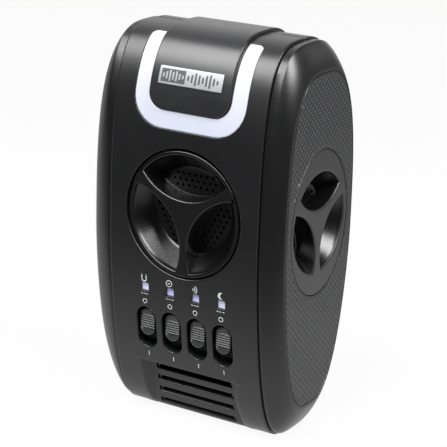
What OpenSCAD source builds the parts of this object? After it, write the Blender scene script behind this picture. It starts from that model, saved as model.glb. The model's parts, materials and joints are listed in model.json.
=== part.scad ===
// Plug-in ultrasonic pest repeller.
// Millimetres. +Z up, the front faces -Y, +Y points into the wall.
// The origin is the centre of the face that seats on the wall outlet.
// Left and right are as seen from the front.

/* [Case] */
// Height of the case
case_h = 150; // [140:1:190]
// Width over the two flat sides
case_w = 81.2; // [78:0.1:100]
// Width of the centre band, seam to seam
band_w = 62.8; // [60:0.1:66]
// Depth of the case in front of the parting line
front_depth = 28.7; // [26:0.1:36]
// Depth of the case behind the parting line
rear_depth = 26.6; // [25:0.1:34]
// Thickness of the moulded walls
wall = 2.2; // [1.8:0.1:2.6]
// How far the centre band stands proud of the side caps
band_proud = 0.8; // [0.3:0.1:1.5]
// Open width of a seam between two mouldings
seam_gap = 0.3; // [0.1:0.05:0.5]
// Clearance around a piece that drops into an opening
fit_gap = 0.15; // [0.05:0.05:0.3]
// Squareness of the front of the outline, 2 is an ellipse
front_square = 3.6; // [2.5:0.1:4.5]
// Squareness of the rear of the outline
rear_square = 2.75; // [2.2:0.05:4]
// Squareness of the top of the outline
top_square = 3.05; // [2:0.05:4]
// Squareness of the bottom of the outline, low values draw it to a toe
bottom_square = 1.45; // [1.3:0.05:3]

/* [Side cap] */
// Height of the flat textured side
side_flat_h = 126.4; // [100:0.1:132]
// Depth of the flat textured side
side_flat_d = 49.6; // [46:0.1:51]
// Height of the middle of the flat side over the middle of the case
side_flat_z = 1.2; // [-2:0.1:3]
// Distance of that middle behind the parting line
side_flat_y = 0.3; // [-1:0.1:1]
// Squareness of the flat side at the front, rear, top and bottom
side_squares = [3.3, 2.7, 3, 1.6]; // [1.3:0.05:4]
// Width of the plain rim beside the seam
rim_w = 2.2; // [0.5:0.1:3]
// Roundness of the shoulder between rim and flat side, 1 is a bevel
shoulder_round = 1.35; // [1.1:0.05:2]
// Length of the lip that a side cap sends into the centre band
lip_l = 3; // [2:0.5:5]
// Thickness of that lip
lip_t = 1.2; // [1:0.1:1.5]

/* [Grilles] */
// Radius of the round front opening
front_grille_r = 24.3; // [20:0.1:25]
// Height of the front grille over the middle of the case
front_grille_z = 10.8; // [8:0.1:12]
// Width of the plain ring around the front lobes
front_ring_w = 1.5; // [1:0.1:4]
// Width of the dark groove around the front grille
groove_w = 0.8; // [0.4:0.1:1.5]
// Half depth of the oval side plate, along Y
side_plate_a = 20.9; // [18:0.1:22]
// Half height of the oval side plate
side_plate_b = 27.3; // [22:0.1:34]
// Height of the side plates over the middle of the case
side_plate_z = 8.5; // [4:0.1:12]
// Width of the plain land beside the side lobes, where the plate is narrowest
side_ring_w = 2.1; // [2:0.1:5]
// Distance from a grille's centre to the inner edge of its lobes
hub_r = 5.2; // [4:0.1:7]
// Width of the spider's arms where they meet the ring
arm_w = 5.9; // [3:0.1:8]
// Depth of the lobe pockets
pocket_d = 8; // [5:0.1:8.5]
// Diameter of the sound holes
sound_hole_d = 1.2; // [0.8:0.1:1.6]
// Distance between neighbouring sound holes
sound_hole_pitch = 2.6; // [2.2:0.1:4]
// Least width of floor around a sound hole
sound_hole_land = 0.6; // [0.3:0.1:2]
// How far the front grille's flange reaches behind the cover
flange_rim = 1.8; // [1:0.1:2.5]

/* [Light strip and brow] */
// Outer width of the U-shaped light strip
strip_w = 46.2; // [42:0.1:50]
// Width of the strip's arms
strip_arm = 6; // [4:0.1:8]
// Height of the strip's outer lower edge over the middle of the case
strip_z = 41.3; // [38:0.1:44]
// Height of the strip's lower bar
strip_bar = 6.1; // [4:0.1:9]
// Outer corner radius of the strip
strip_r = 12; // [9:0.5:16]
// Distance from the parting line to the ends of the arms
strip_end = 13.5; // [8:0.5:16]
// How far the brow panel stands proud
brow_h = 1.2; // [0.6:0.1:2]
// Gap between the strip and the brow panel
brow_gap = 0.5; // [0.2:0.1:1]
// How far the brow panel runs behind the parting line
brow_back = 14; // [6:1:16]
// Height of the nameplate's middle over the middle of the case
nameplate_z = 59.7; // [56:0.1:62]
// Width of the nameplate
nameplate_w = 26.4; // [16:0.2:28]
// Height of the nameplate
nameplate_h = 6; // [4:0.2:8]
// Thickness of the nameplate
nameplate_t = 0.4; // [0.3:0.1:0.6]

/* [Switches] */
// Distance between neighbouring switches
switch_pitch = 11; // [10.2:0.1:11.2]
// Height of the middle of the slots, below the middle of the case
slot_z = -36.8; // [-38:0.1:-35]
// Width of a switch slot
slot_w = 8.5; // [7.5:0.1:9]
// Length of a switch slot
slot_h = 16.8; // [15:0.1:18]
// Travel of a switch knob from off to on
travel = 4; // [3:0.5:4.5]
// Width of a knob
knob_w = 6.3; // [5:0.1:6.8]
// Length of a knob
knob_h = 10.8; // [9:0.1:11.5]
// Ribs across a knob
knob_ribs = 7; // [3:1:9]
// Height of the indicator windows, below the middle of the case
window_z = -20.2; // [-21:0.1:-19.5]
// Width of an indicator window
window_w = 3.6; // [2.6:0.1:4.4]
// Height of an indicator window
window_h = 3.4; // [2.6:0.1:4]
// How deep the lenses lie in their windows
lens_sink = 1.4; // [0.5:0.1:2]
// How far a lens's flange reaches past its window
lens_flange = 0.6; // [0.3:0.1:1]

/* [Vent] */
// Width of the vent recess
vent_w = 41; // [34:1:42]
// Height of the top of the recess, below the middle of the case
vent_z = -51.8; // [-53:0.1:-51]
// Distance from the parting line to the louvre panel, at its top
vent_top_y = 18.4; // [17.5:0.1:19]
// How far the recess's top edge slopes down to the louvre panel
vent_slope = 0.6; // [0.2:0.1:2]
// The same distance at the bottom of the panel
vent_bottom_y = 13.2; // [12:0.1:15]
// Length of a louvre slot
louvre_w = 33.6; // [24:0.2:35]
// Height of a louvre slot
louvre_h = 2.2; // [1:0.1:3]
// Distance between neighbouring louvres
louvre_pitch = 5.4; // [4:0.1:5.6]
// Louvre slots
louvres = 4; // [2:1:4]

/* [Plug] */
// How far the plug base stands out of the case's back
seat_stand = 1.4; // [0.8:0.1:6]
// Width of the plug base
plug_w = 32; // [28:1:40]
// Height of the plug base
plug_h = 24; // [20:1:30]
// Distance between the two blades
blade_pitch = 12.7; // [12.7:0.1:19]
// Width of a blade
blade_w = 6.3; // [4:0.1:7]
// Thickness of a blade
blade_t = 1.5; // [1:0.1:2]
// Length of a blade outside the plug base
blade_l = 16; // [12:0.5:20]

/* [Inside] */
// Thickness of the circuit boards
board_t = 1.6; // [1:0.1:2]
// Front of the main board, in front of the parting line
main_board_y = -14.8; // [-15:0.1:-14]
// Front of the power board, behind the parting line
power_board_y = 12; // [10:0.5:12]
// Radius of the piezo transducers
transducer_r = 16; // [10:0.5:16]
// Height of the transducer cans
transducer_h = 7; // [4:0.5:8]
// Outer radius of the screw bosses
boss_r = 4.4; // [4.2:0.1:4.5]
// Distance of the case screws from the middle
screw_x = 23.4; // [22:0.1:23.6]
// Heights of the case screws
screw_z = [34, -62]; // [-70:1:60]

/* [Hidden] */

outline_points = 72;
shoulder_rings = 7;
long = 100;                          // longer than any piece, for cuts that run right through
cap_x = band_w / 2 + seam_gap;       // inner edge of a side cap
side_x = case_w / 2;                 // the flat side
side_plate_t = 1.1;                  // flange of a side plate, let into the cap
side_ledge = 0.8;                    // ledge that the flange sits on
side_lobe_r = side_plate_a - side_ring_w;
side_cup_r = side_lobe_r + 0.9;
strip_sink = 0.2;                    // the light strip lies this far below the cover
glue_gap = 0.05;                     // joint between two glued mouldings
lap_l = 1.5;                         // overlap of the front cover's tongue into the rear cover
grille_y = front_y(front_grille_z) + 0.45;    // face of the front grille, a little sunk
grille_cup_r = front_grille_r - groove_w;
front_lobe_r = grille_cup_r - front_ring_w;
grille_flange_r = front_grille_r + flange_rim;
grille_flange_t = 1.4;
// the flange bears on the inside of the cover, where that lies deepest
grille_flange_y = fit_gap + max(front_y(front_grille_z + grille_flange_r, -wall),
                                front_y(front_grille_z - grille_flange_r, -wall));
floor_t = 1.2;                       // perforated floor of the pockets
knob_y = front_y(slot_z) + 0.3;      // face of a knob, a little sunk
knob_back_y = main_board_y - 6.2;
slider_y = knob_back_y - 1.6;        // tip of a slider, inside its knob
switch_y = main_board_y - 5;         // front face of a switch body
switch_w = 7;
switch_h = 13;
stub_w = 2.4;
stub_h = 3.6;
led_t = 1.9;
lens_y = front_y(window_z) + lens_sink;
transducer_gap = 0.3;                // from a grille's floor to the transducer behind it
main_board_z = [-52, -17];
main_board_w = 54;
board_post_x = 24.5;
board_post_z = [-49, -20];
post_r = 2.4;
power_board_w = 38;
power_board_h = 68;
power_post_x = 15.5;
power_post_z = 30.5;
split_screw_y = 5.8;                 // where the front and rear bosses meet
screw_head_y = 12;                   // seat of a case screw's head
screw_l = 15;
case_screw_r = 1.1;                  // pilot hole in the front boss
case_screw_pass_r = 1.4;             // hole through the rear boss
case_screw_head_r = 2.9;             // well for the head
board_screw_r = 0.9;                 // pilot hole in a board's post
board_screw_pass_r = 1.2;            // hole through a board
thread_gap = 0.05;                   // a screw is this much thinner than its pilot hole
seat_y = rear_depth + seat_stand;
plug_flange_t = 1.8;
plug_flange_rim = 2.2;               // how far the flange reaches past the opening
plug_flange_y = rear_y(-plug_h / 2 - plug_flange_rim, -wall) - plug_flange_t - 0.2;
vent_foot_z = 2.4 - case_h / 2;      // where the louvre panel meets the bottom
vent_tilt = atan((vent_top_y - vent_bottom_y) / (vent_z - vent_foot_z));
blade_in = 4;                        // length of a blade inside the plug flange
blade_hole_r = 1.6;
blade_hole_in = 4.5;                 // from a blade's tip to the middle of its hole

// Components: places are [x, z] on the power board, or [x, y, z] in the case
transformer_at = [-7, -17];
transformer_size = [18, 14, 16];
transformer_leg = 4.6;               // middle leg of the core
transformer_window = [4.4, 11];      // width and height of the openings beside it
winding_gap = 0.1;
winding_end = 1;                     // bare core before and behind the winding
capacitor_at = [9, -24];
capacitor_r = 5;
capacitor_l = 18;
bridge_at = [9, 2];
bridge_size = [7, 4.5, 7];
fuse_at = [-7, 10];
fuse_r = 2.4;
fuse_l = 14;
fuse_cap_r = 2.9;
fuse_cap_l = 3;
coil_place = [-13, 12, 48];
coil_l = 26;
coil_core_r = 3;
coil_end_r = 8;
coil_end_t = 1.5;
coil_winding_r = 7;
ion_place = [-18, -8, -58];
ion_size = [20, 12, 16];
brush_place = [12, -8, -56];
brush_r = 1.6;
brush_l = 8;
brush_tip_r = 0.9;
brush_tip_l = 4;

function signed_pow(v, p) = sign(v) * pow(abs(v), p);

// Closed outline in (y, z) whose four quarters have their own squareness
function squared_loop(front, rear, half_h, front_n, rear_n, top_n, bottom_n) = [
    for (i = [0 : outline_points - 1])
        let (a = 360 * i / outline_points, c = cos(a), s = sin(a))
        [(c < 0 ? front : rear) * signed_pow(c, 2 / (c < 0 ? front_n : rear_n)),
         half_h * signed_pow(s, 2 / (s > 0 ? top_n : bottom_n))]
];

// Outline of the case, grown by off
function case_loop(off) = squared_loop(
    front_depth + off, rear_depth + off, case_h / 2 + off,
    front_square, rear_square, top_square, bottom_square);

// Outline of the flat side, grown by off
function side_loop(off) = [
    for (p = squared_loop(side_flat_d / 2 + off, side_flat_d / 2 + off, side_flat_h / 2 + off,
                          side_squares[0], side_squares[1], side_squares[2], side_squares[3]))
        [p[0] + side_flat_y, p[1] + side_flat_z]
];

// Outline of the oval side plate, grown by off
function plate_loop(off) = [
    for (i = [0 : outline_points - 1])
        let (a = 360 * i / outline_points)
        [(side_plate_a + off) * cos(a), side_plate_z + (side_plate_b + off) * sin(a)]
];

// Depth of the front surface, grown by off, at height z
function front_y(z, off = 0) =
    -(front_depth + off) * pow(1 - pow(abs(z) / (case_h / 2 + off),
        z > 0 ? top_square : bottom_square), 1 / front_square);

// Depth of the rear surface, grown by off, at height z
function rear_y(z, off = 0) =
    (rear_depth + off) * pow(1 - pow(abs(z) / (case_h / 2 + off),
        z > 0 ? top_square : bottom_square), 1 / rear_square);

function mix(a, b, k) = [for (i = [0 : len(a) - 1]) a[i] * (1 - k) + b[i] * k];

// A quarter turn of points, for rounded corners
function corner(centre, r, from) = [
    for (i = [0 : 6])
        let (a = from + 15 * i)
        centre + r * [cos(a), sin(a)]
];

// Points of an open-topped U, in (x, z), from its bottom up to top
function u_shape(half_w, bottom, r, top) = concat(
    [[-half_w, top]],
    corner([r - half_w, bottom + r], r, 180),
    corner([half_w - r, bottom + r], r, 270),
    [[half_w, top]]);

function switch_x(i) = (i - 2.5) * switch_pitch;

// From the case's middle to the part's origin on the seat face
module placed() { translate([0, -seat_y, 0]) children(); }

// A shape in (x, z), drawn through from y0 to y1
module along_y(y0, y1) {
    translate([0, y1, 0]) rotate([90, 0, 0]) linear_extrude(y1 - y0) children();
}

// A shape in (y, z), drawn through from x0 to x1
module along_x(x0, x1) {
    translate([x0, 0, 0]) rotate([90, 0, 90]) linear_extrude(x1 - x0) children();
}

module rod_y(r, y0, y1) {
    translate([0, y1, 0]) rotate([90, 0, 0]) cylinder(r = r, h = y1 - y0, $fn = 48);
}

module stadium(w, h) {
    r = w / 2;
    square([w, h - w], center = true);
    for (side = [-1, 1]) translate([0, side * (h / 2 - r)]) circle(r = r, $fn = 48);
}

module ring_2d(outer, inner) {
    difference() {
        polygon(case_loop(outer));
        polygon(case_loop(inner));
    }
}

module half_plane(front) {
    translate([front ? -2 * long : 0, -long]) square([2 * long, 2 * long]);
}

module band(outer, w = band_w) { along_x(-w / 2, w / 2) polygon(case_loop(outer)); }

// Closed skin through a list of loops, the last one joined to the first
module ring_skin(loops) {
    rows = len(loops);
    cols = len(loops[0]);
    faces = [
        for (r = [0 : rows - 1], i = [0 : cols - 1])
            let (s = (r + 1) % rows, j = (i + 1) % cols)
            each [[r * cols + i, s * cols + j, r * cols + j],
                  [r * cols + i, s * cols + i, s * cols + j]]
    ];
    polyhedron(points = [for (loop = loops) each loop], faces = faces, convexity = 6);
}

// Three lens-shaped lobes around a three-armed spider
module lobes(r, grow = 0) {
    half = 60 - asin(arm_w / 2 / r);
    reach = (r * r - hub_r * hub_r) / (2 * (r * cos(half) - hub_r));
    for (a = [90, 210, 330])
        rotate(a) intersection() {
            circle(r = r + grow, $fn = 96);
            translate([reach, 0]) circle(r = reach - hub_r + grow, $fn = 96);
        }
}

// The sound holes that fit inside the lobes
module sound_holes(r) {
    half = 60 - asin(arm_w / 2 / r);
    reach = (r * r - hub_r * hub_r) / (2 * (r * cos(half) - hub_r));
    step = sound_hole_pitch;
    rows = floor(r / step);
    margin = sound_hole_d / 2 + sound_hole_land;
    for (a = [90, 210, 330], i = [-rows : rows], j = [1 : rows]) {
        p = [j * step * 0.87, (i + (j % 2) / 2) * step];
        if (norm(p) < r - margin && norm(p - [reach, 0]) < reach - hub_r - margin)
            rotate(a) translate(p) circle(d = sound_hole_d, $fn = 6);
    }
}

// Bosses around the four case screws, from y0 to y1
module screw_bosses(r, y0, y1) {
    for (x = [-screw_x, screw_x], z = screw_z) translate([x, 0, z]) rod_y(r, y0, y1);
}

module vent_profile(back) {
    polygon([
        [-long, vent_z + back],
        [-vent_top_y + back, vent_z + back - vent_slope],
        [-vent_bottom_y + back, vent_foot_z],
        [-vent_bottom_y + back, -long],
        [-long, -long]
    ]);
}

// The recess that holds the louvres, and the same block a wall larger
module vent_block(back = 0) {
    half = vent_w / 2 + back;
    along_x(-half, half) vent_profile(back);
}

module louvre_slots() {
    for (i = [0 : louvres - 1])
        translate([0, -vent_top_y, vent_z - vent_slope])
            rotate([vent_tilt, 0, 0])
                translate([-louvre_w / 2, -2, -(i + 0.5) * louvre_pitch - louvre_h / 2])
                    cube([louvre_w, 2 + 3 * wall, louvre_h]);
}

module front_cover() {
    color("#1d1e21") placed() difference() {
        union() {
            along_x(-band_w / 2, band_w / 2) {
                intersection() {
                    ring_2d(0, -wall);
                    half_plane(true);
                }
                intersection() {
                    ring_2d(-wall / 2 - fit_gap, -wall);
                    translate([-1, -long]) square([1 + lap_l, 2 * long]);
                }
            }
            intersection() {
                band(-wall / 2);
                vent_block(wall);
                translate([-long, -long, -long]) cube([2 * long, long, 2 * long]);
            }
            intersection() {
                band(-wall / 2);
                union() {
                    screw_bosses(boss_r, -long, split_screw_y - glue_gap);
                    for (x = [-board_post_x, board_post_x], z = board_post_z)
                        translate([x, 0, z]) rod_y(post_r, -long, main_board_y);
                }
            }
        }
        vent_block();
        louvre_slots();
        translate([0, 0, front_grille_z]) rod_y(front_grille_r, -long, -front_depth / 2);
        along_y(-long, -strip_end + fit_gap) strip_shape(fit_gap, long);
        for (i = [1 : 4]) translate([switch_x(i), 0, 0]) {
            translate([0, 0, slot_z]) along_y(-long, knob_back_y) stadium(slot_w, slot_h);
            translate([0, 0, window_z]) along_y(-long, -front_depth / 2)
                square([window_w, window_h], center = true);
        }
        screw_bosses(case_screw_r, split_screw_y - 10, long);
        for (x = [-board_post_x, board_post_x], z = board_post_z)
            translate([x, 0, z]) rod_y(board_screw_r, main_board_y - 4.5, long);
    }
}

module rear_cover() {
    color("#1d1e21") placed() difference() {
        union() {
            along_x(-band_w / 2, band_w / 2) difference() {
                intersection() {
                    ring_2d(0, -wall);
                    translate([seam_gap, -long]) square([2 * long, 2 * long]);
                }
                intersection() {
                    ring_2d(-wall / 2, -2 * wall);
                    translate([-1, -long]) square([1 + lap_l + fit_gap, 2 * long]);
                }
            }
            intersection() {
                band(-wall / 2);
                union() {
                    screw_bosses(boss_r, split_screw_y + glue_gap, long);
                    for (x = [-power_post_x, power_post_x], z = [-power_post_z, power_post_z])
                        translate([x, 0, z]) rod_y(post_r, power_board_y + board_t, long);
                }
            }
        }
        along_y(0, long) square([plug_w + 2 * fit_gap, plug_h + 2 * fit_gap], center = true);
        screw_bosses(case_screw_pass_r, 0, long);
        screw_bosses(case_screw_head_r, screw_head_y, long);
        for (x = [-power_post_x, power_post_x], z = [-power_post_z, power_post_z])
            translate([x, 0, z]) rod_y(board_screw_r, 0, power_board_y + 7);
    }
}

// The right-hand cap: lip, rim, shoulder, flat side with its opening, and back inside
module side_cap() {
    lip_out = case_loop(-wall - fit_gap);
    lip_in = case_loop(-wall - fit_gap - lip_t);
    rim = case_loop(-band_proud);
    shoulder_x = cap_x + rim_w;
    function at(x, loop) = [for (p = loop) [x, p[0], p[1]]];
    function bend(t) = 1 - pow(1 - pow(t, shoulder_round), 1 / shoulder_round);
    function shoulder(t, inset) =
        at(shoulder_x + t * (side_x - shoulder_x) - inset * (0.4 + 0.6 * t),
           mix(case_loop(-band_proud - inset), side_loop(-inset), bend(t)));
    ring_skin(concat(
        [at(cap_x - lip_l, lip_out), at(cap_x, lip_out), at(cap_x, rim)],
        [for (i = [0 : shoulder_rings]) shoulder(i / shoulder_rings, 0)],
        [at(side_x, plate_loop(fit_gap)), at(side_x - side_plate_t, plate_loop(fit_gap)),
         at(side_x - side_plate_t, plate_loop(-side_ledge)),
         at(side_x - wall, plate_loop(-side_ledge))],
        [for (i = [shoulder_rings : -1 : 0]) shoulder(i / shoulder_rings, wall)],
        [at(cap_x - lip_l, lip_in)]
    ));
}

module side_cap_right() { color("#2a2b2f") placed() side_cap(); }
module side_cap_left() { color("#2a2b2f") placed() mirror([1, 0, 0]) side_cap(); }

// Grows the outer edge and shrinks the inner one
module strip_shape(grow, top) {
    inner_r = strip_r - strip_arm + 1.4;
    difference() {
        polygon(u_shape(strip_w / 2 + grow, strip_z - grow, strip_r, top));
        polygon(u_shape(strip_w / 2 - strip_arm - grow, strip_z + strip_bar + grow, inner_r, 2 * top));
    }
}

module night_light_strip() {
    color("#eef0ff") placed() intersection() {
        along_y(-long, -strip_end) strip_shape(0, long);
        along_x(-band_w / 2, band_w / 2) ring_2d(-strip_sink, -wall);
    }
}

module brow_panel() {
    half = strip_w / 2 - strip_arm - brow_gap;
    bottom = strip_z + strip_bar + brow_gap;
    color("#202125") placed() intersection() {
        along_y(-long, brow_back) polygon(u_shape(half, bottom, strip_r - strip_arm + 1, long));
        along_x(-band_w / 2, band_w / 2) ring_2d(brow_h, glue_gap);
    }
}

module nameplate() {
    color("#b9bbbe") placed() intersection() {
        along_y(-long, 0) translate([-nameplate_w / 2, nameplate_z - nameplate_h / 2])
            square([nameplate_w, nameplate_h]);
        along_x(-band_w / 2, band_w / 2) ring_2d(brow_h + glue_gap + nameplate_t, brow_h + glue_gap);
    }
}

module front_grille() {
    color("#232428") placed() translate([0, 0, front_grille_z]) difference() {
        union() {
            rod_y(grille_cup_r, grille_y, grille_y + pocket_d + floor_t);
            rod_y(grille_flange_r, grille_flange_y, grille_flange_y + grille_flange_t);
        }
        along_y(grille_y - 1, grille_y + pocket_d) lobes(front_lobe_r);
        along_y(grille_y, grille_y + pocket_d + 2 * floor_t) sound_holes(front_lobe_r);
    }
}

module side_grille() {
    difference() {
        union() {
            along_x(side_x - side_plate_t + glue_gap, side_x) polygon(plate_loop(0));
            translate([0, 0, side_plate_z])
                along_x(side_x - pocket_d - floor_t, side_x - side_plate_t + 0.2)
                    circle(r = side_cup_r, $fn = 96);
        }
        translate([0, 0, side_plate_z]) {
            along_x(side_x - pocket_d, side_x + 1) lobes(side_lobe_r);
            along_x(side_x - pocket_d - 2 * floor_t, side_x) sound_holes(side_lobe_r);
        }
    }
}

module side_grille_right() { color("#2c2d31") placed() side_grille(); }
module side_grille_left() { color("#2c2d31") placed() mirror([1, 0, 0]) side_grille(); }

// A light pipe with a flange that stops it behind its window
module indicator_lens(i) {
    color("#b9b8e0") placed() translate([switch_x(i), 0, window_z]) {
        along_y(lens_y, main_board_y - led_t - 0.2)
            square([window_w - 2 * fit_gap, window_h - 2 * fit_gap], center = true);
        along_y(front_y(window_z, -wall) + 0.5, front_y(window_z, -wall) + 1.7)
            square([window_w + 2 * lens_flange, window_h + 2 * lens_flange], center = true);
    }
}

module indicator_lens_1() { indicator_lens(1); }
module indicator_lens_2() { indicator_lens(2); }
module indicator_lens_3() { indicator_lens(3); }
module indicator_lens_4() { indicator_lens(4); }

// Off is at the top of the slot, half the spare length from its end
module switch_knob(i) {
    rib = knob_h * 0.7 / knob_ribs;
    color("#2b2c30") placed() translate([switch_x(i), 0, slot_z + travel / 2]) difference() {
        along_y(knob_y, knob_back_y) stadium(knob_w, knob_h);
        for (k = [0 : knob_ribs])
            translate([-knob_w, knob_y - 1, (k - knob_ribs / 2) * rib - rib / 4])
                cube([2 * knob_w, 1.4, rib / 2]);
        along_y(slider_y - glue_gap, knob_back_y + 1)
            square([stub_w + 2 * glue_gap, stub_h + 2 * glue_gap], center = true);
    }
}

module switch_knob_1() { switch_knob(1); }
module switch_knob_2() { switch_knob(2); }
module switch_knob_3() { switch_knob(3); }
module switch_knob_4() { switch_knob(4); }

module switch_slider(i) {
    color("#101012") placed() translate([switch_x(i), 0, slot_z + travel / 2])
        along_y(slider_y, switch_y + 1.2) square([stub_w, stub_h], center = true);
}

module switch_slider_1() { switch_slider(1); }
module switch_slider_2() { switch_slider(2); }
module switch_slider_3() { switch_slider(3); }
module switch_slider_4() { switch_slider(4); }

module switch_body(i) {
    color("#151517") placed() translate([switch_x(i), 0, slot_z]) difference() {
        along_y(switch_y, main_board_y) square([switch_w, switch_h], center = true);
        along_y(switch_y - 1, switch_y + 1.5)
            square([stub_w + 0.6, stub_h + travel + 0.8], center = true);
    }
}

module switch_body_1() { switch_body(1); }
module switch_body_2() { switch_body(2); }
module switch_body_3() { switch_body(3); }
module switch_body_4() { switch_body(4); }

module main_board() {
    color("#1f5a33") placed() difference() {
        along_y(main_board_y, main_board_y + board_t)
            translate([-main_board_w / 2, main_board_z[0]])
                square([main_board_w, main_board_z[1] - main_board_z[0]]);
        for (x = [-board_post_x, board_post_x], z = board_post_z)
            translate([x, 0, z]) rod_y(board_screw_pass_r, -long, long);
    }
}

module indicator_leds() {
    color("#f4f0e0") placed() for (i = [1 : 4])
        translate([switch_x(i), 0, window_z]) along_y(main_board_y - led_t, main_board_y)
            square([3, 2.6], center = true);
}

// The tilted board behind the light strip: x across, y up the board, z towards the strip
module behind_strip() {
    placed() translate([0, -8, strip_z + 13.5]) rotate([50, 0, 0]) children();
}

module night_light_board() {
    color("#e8e8e4") behind_strip() translate([-strip_w / 2 + 1, -13, 0])
        cube([strip_w - 2, 24, 1.2]);
}

module night_light_leds() {
    color("#fff6c8") behind_strip() {
        for (x = [-strip_w / 2 + 4, strip_w / 2 - 4], y = [-2, 7])
            translate([x - 1.4, y - 1.75, 1.2]) cube([2.8, 3.5, 1.6]);
        for (x = [-9, 0, 9]) translate([x - 1.75, -11, 1.2]) cube([3.5, 2.8, 1.6]);
    }
}

// A piezo transducer: can, boss and rim, with its face at y = 0
module transducer() {
    rod_y(transducer_r, 0.4, transducer_h);
    rod_y(transducer_r - 4, 0, transducer_h + 1.5);
    rod_y(5, 0, transducer_h + 3);
}

module front_transducer() {
    color("#c9a54a") placed()
        translate([0, grille_y + pocket_d + floor_t + transducer_gap, front_grille_z]) transducer();
}

module side_transducer_right() {
    color("#c9a54a") placed()
        translate([side_x - pocket_d - floor_t - transducer_gap, 0, side_plate_z])
            rotate([0, 0, 90]) transducer();
}

module side_transducer_left() {
    color("#c9a54a") placed()
        translate([pocket_d + floor_t + transducer_gap - side_x, 0, side_plate_z])
            rotate([0, 0, -90]) transducer();
}

module power_board() {
    color("#1f5a33") placed() difference() {
        along_y(power_board_y, power_board_y + board_t)
            square([power_board_w, power_board_h], center = true);
        for (x = [-power_post_x, power_post_x], z = [-power_post_z, power_post_z])
            translate([x, 0, z]) rod_y(board_screw_pass_r, -long, long);
    }
}

// Things on the front of the power board, standing out by depth
module on_power_board(at, depth) {
    placed() translate([at[0], power_board_y - depth, at[1]]) children();
}

// A block from y = 0 back, centred in x and z
module block(size) { translate([-size[0] / 2, 0, -size[2] / 2]) cube(size); }

module transformer_core() {
    window = [transformer_window[0], 2 * transformer_size[1], transformer_window[1]];
    aside = (transformer_leg + transformer_window[0]) / 2;
    color("#3a3b3e") on_power_board(transformer_at, transformer_size[1]) difference() {
        block(transformer_size);
        for (side = [-1, 1]) translate([side * aside, -1, 0]) block(window);
    }
}

module transformer_winding() {
    gap = 2 * winding_gap;
    outer = [transformer_leg + 2 * transformer_window[0] - gap,
             transformer_size[1] - 2 * winding_end, transformer_window[1] - gap];
    color("#c58a2c") on_power_board(transformer_at, transformer_size[1]) difference() {
        translate([0, winding_end, 0]) block(outer);
        block([transformer_leg + gap, transformer_size[1], transformer_window[1] + 1]);
    }
}

module smoothing_capacitor() {
    color("#26324a") on_power_board(capacitor_at, capacitor_r + 0.2)
        cylinder(r = capacitor_r, h = capacitor_l, $fn = 48);
}

module bridge_rectifier() {
    color("#161618") on_power_board(bridge_at, bridge_size[1]) block(bridge_size);
}

module fuse() {
    color("#d8d2c0") on_power_board(fuse_at, fuse_cap_r + 0.1) rotate([0, 90, 0]) {
        cylinder(r = fuse_r, h = fuse_l, $fn = 32);
        for (z = [0, fuse_l - fuse_cap_l])
            translate([0, 0, z]) cylinder(r = fuse_cap_r, h = fuse_cap_l, $fn = 32);
    }
}

// The coil lies across the case behind the light strip
module coil_at() { placed() translate(coil_place) rotate([0, 90, 0]) children(); }

module field_coil_core() {
    color("#4a4b4f") coil_at() {
        cylinder(r = coil_core_r, h = coil_l, $fn = 48);
        for (z = [0, coil_l - coil_end_t])
            translate([0, 0, z]) cylinder(r = coil_end_r, h = coil_end_t, $fn = 48);
    }
}

module field_coil_winding() {
    from_end = coil_end_t + 2 * winding_gap;
    color("#b4552a") coil_at() translate([0, 0, from_end]) difference() {
        cylinder(r = coil_winding_r, h = coil_l - 2 * from_end, $fn = 64);
        translate([0, 0, -1]) cylinder(r = coil_core_r + winding_gap, h = coil_l, $fn = 48);
    }
}

module ion_module() {
    color("#3a3b3e") placed() translate(ion_place) cube(ion_size);
}

module ion_brush() {
    color("#45464a") placed() translate(brush_place) {
        cylinder(r = brush_r, h = brush_l, $fn = 32);
        translate([0, 0, -brush_tip_l]) cylinder(r = brush_tip_r, h = brush_tip_l, $fn = 32);
    }
}

module plug_base() {
    color("#1a1b1d") placed() difference() {
        union() {
            along_y(plug_flange_y, seat_y) square([plug_w, plug_h], center = true);
            along_y(plug_flange_y, plug_flange_y + plug_flange_t)
                square([plug_w, plug_h] + 2 * plug_flange_rim * [1, 1], center = true);
        }
        for (side = [-1, 1]) translate([side * blade_pitch / 2, 0, 0])
            along_y(0, long) square([blade_t + 2 * glue_gap, blade_w + 2 * glue_gap], center = true);
    }
}

module plug_blade(side) {
    color("#c9cbcf") placed() translate([side * blade_pitch / 2, 0, 0]) difference() {
        along_y(plug_flange_y - blade_in, seat_y + blade_l)
            square([blade_t, blade_w], center = true);
        translate([-blade_t, seat_y + blade_l - blade_hole_in, 0]) rotate([0, 90, 0])
            cylinder(r = blade_hole_r, h = 2 * blade_t, $fn = 32);
    }
}

module plug_blade_left() { plug_blade(-1); }
module plug_blade_right() { plug_blade(1); }

// Round lead swept along its points, eight-sided
module lead(path, d) {
    sides = 8;
    last = len(path) - 1;
    function heading(i) =
        let (v = path[min(i + 1, last)] - path[max(i - 1, 0)]) v / norm(v);
    function ring(i) =
        let (t = heading(i),
             ref = abs(t[2]) < 0.8 ? [0, 0, 1] : [1, 0, 0],
             u = cross(t, ref) / norm(cross(t, ref)),
             v = cross(t, u))
        [for (k = [0 : sides - 1])
            path[i] + d / 2 * (cos(360 * k / sides) * u + sin(360 * k / sides) * v)];
    points = [for (i = [0 : last]) each ring(i)];
    tube = [
        for (i = [0 : last - 1], k = [0 : sides - 1])
            let (a = i * sides + k, b = i * sides + (k + 1) % sides)
            each [[a, b + sides, b], [a, a + sides, b + sides]]
    ];
    start = [for (k = [0 : sides - 1]) k];
    end = [for (k = [0 : sides - 1]) last * sides + sides - 1 - k];
    polyhedron(points = points, faces = concat(tube, [start, end]), convexity = 8);
}

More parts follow.
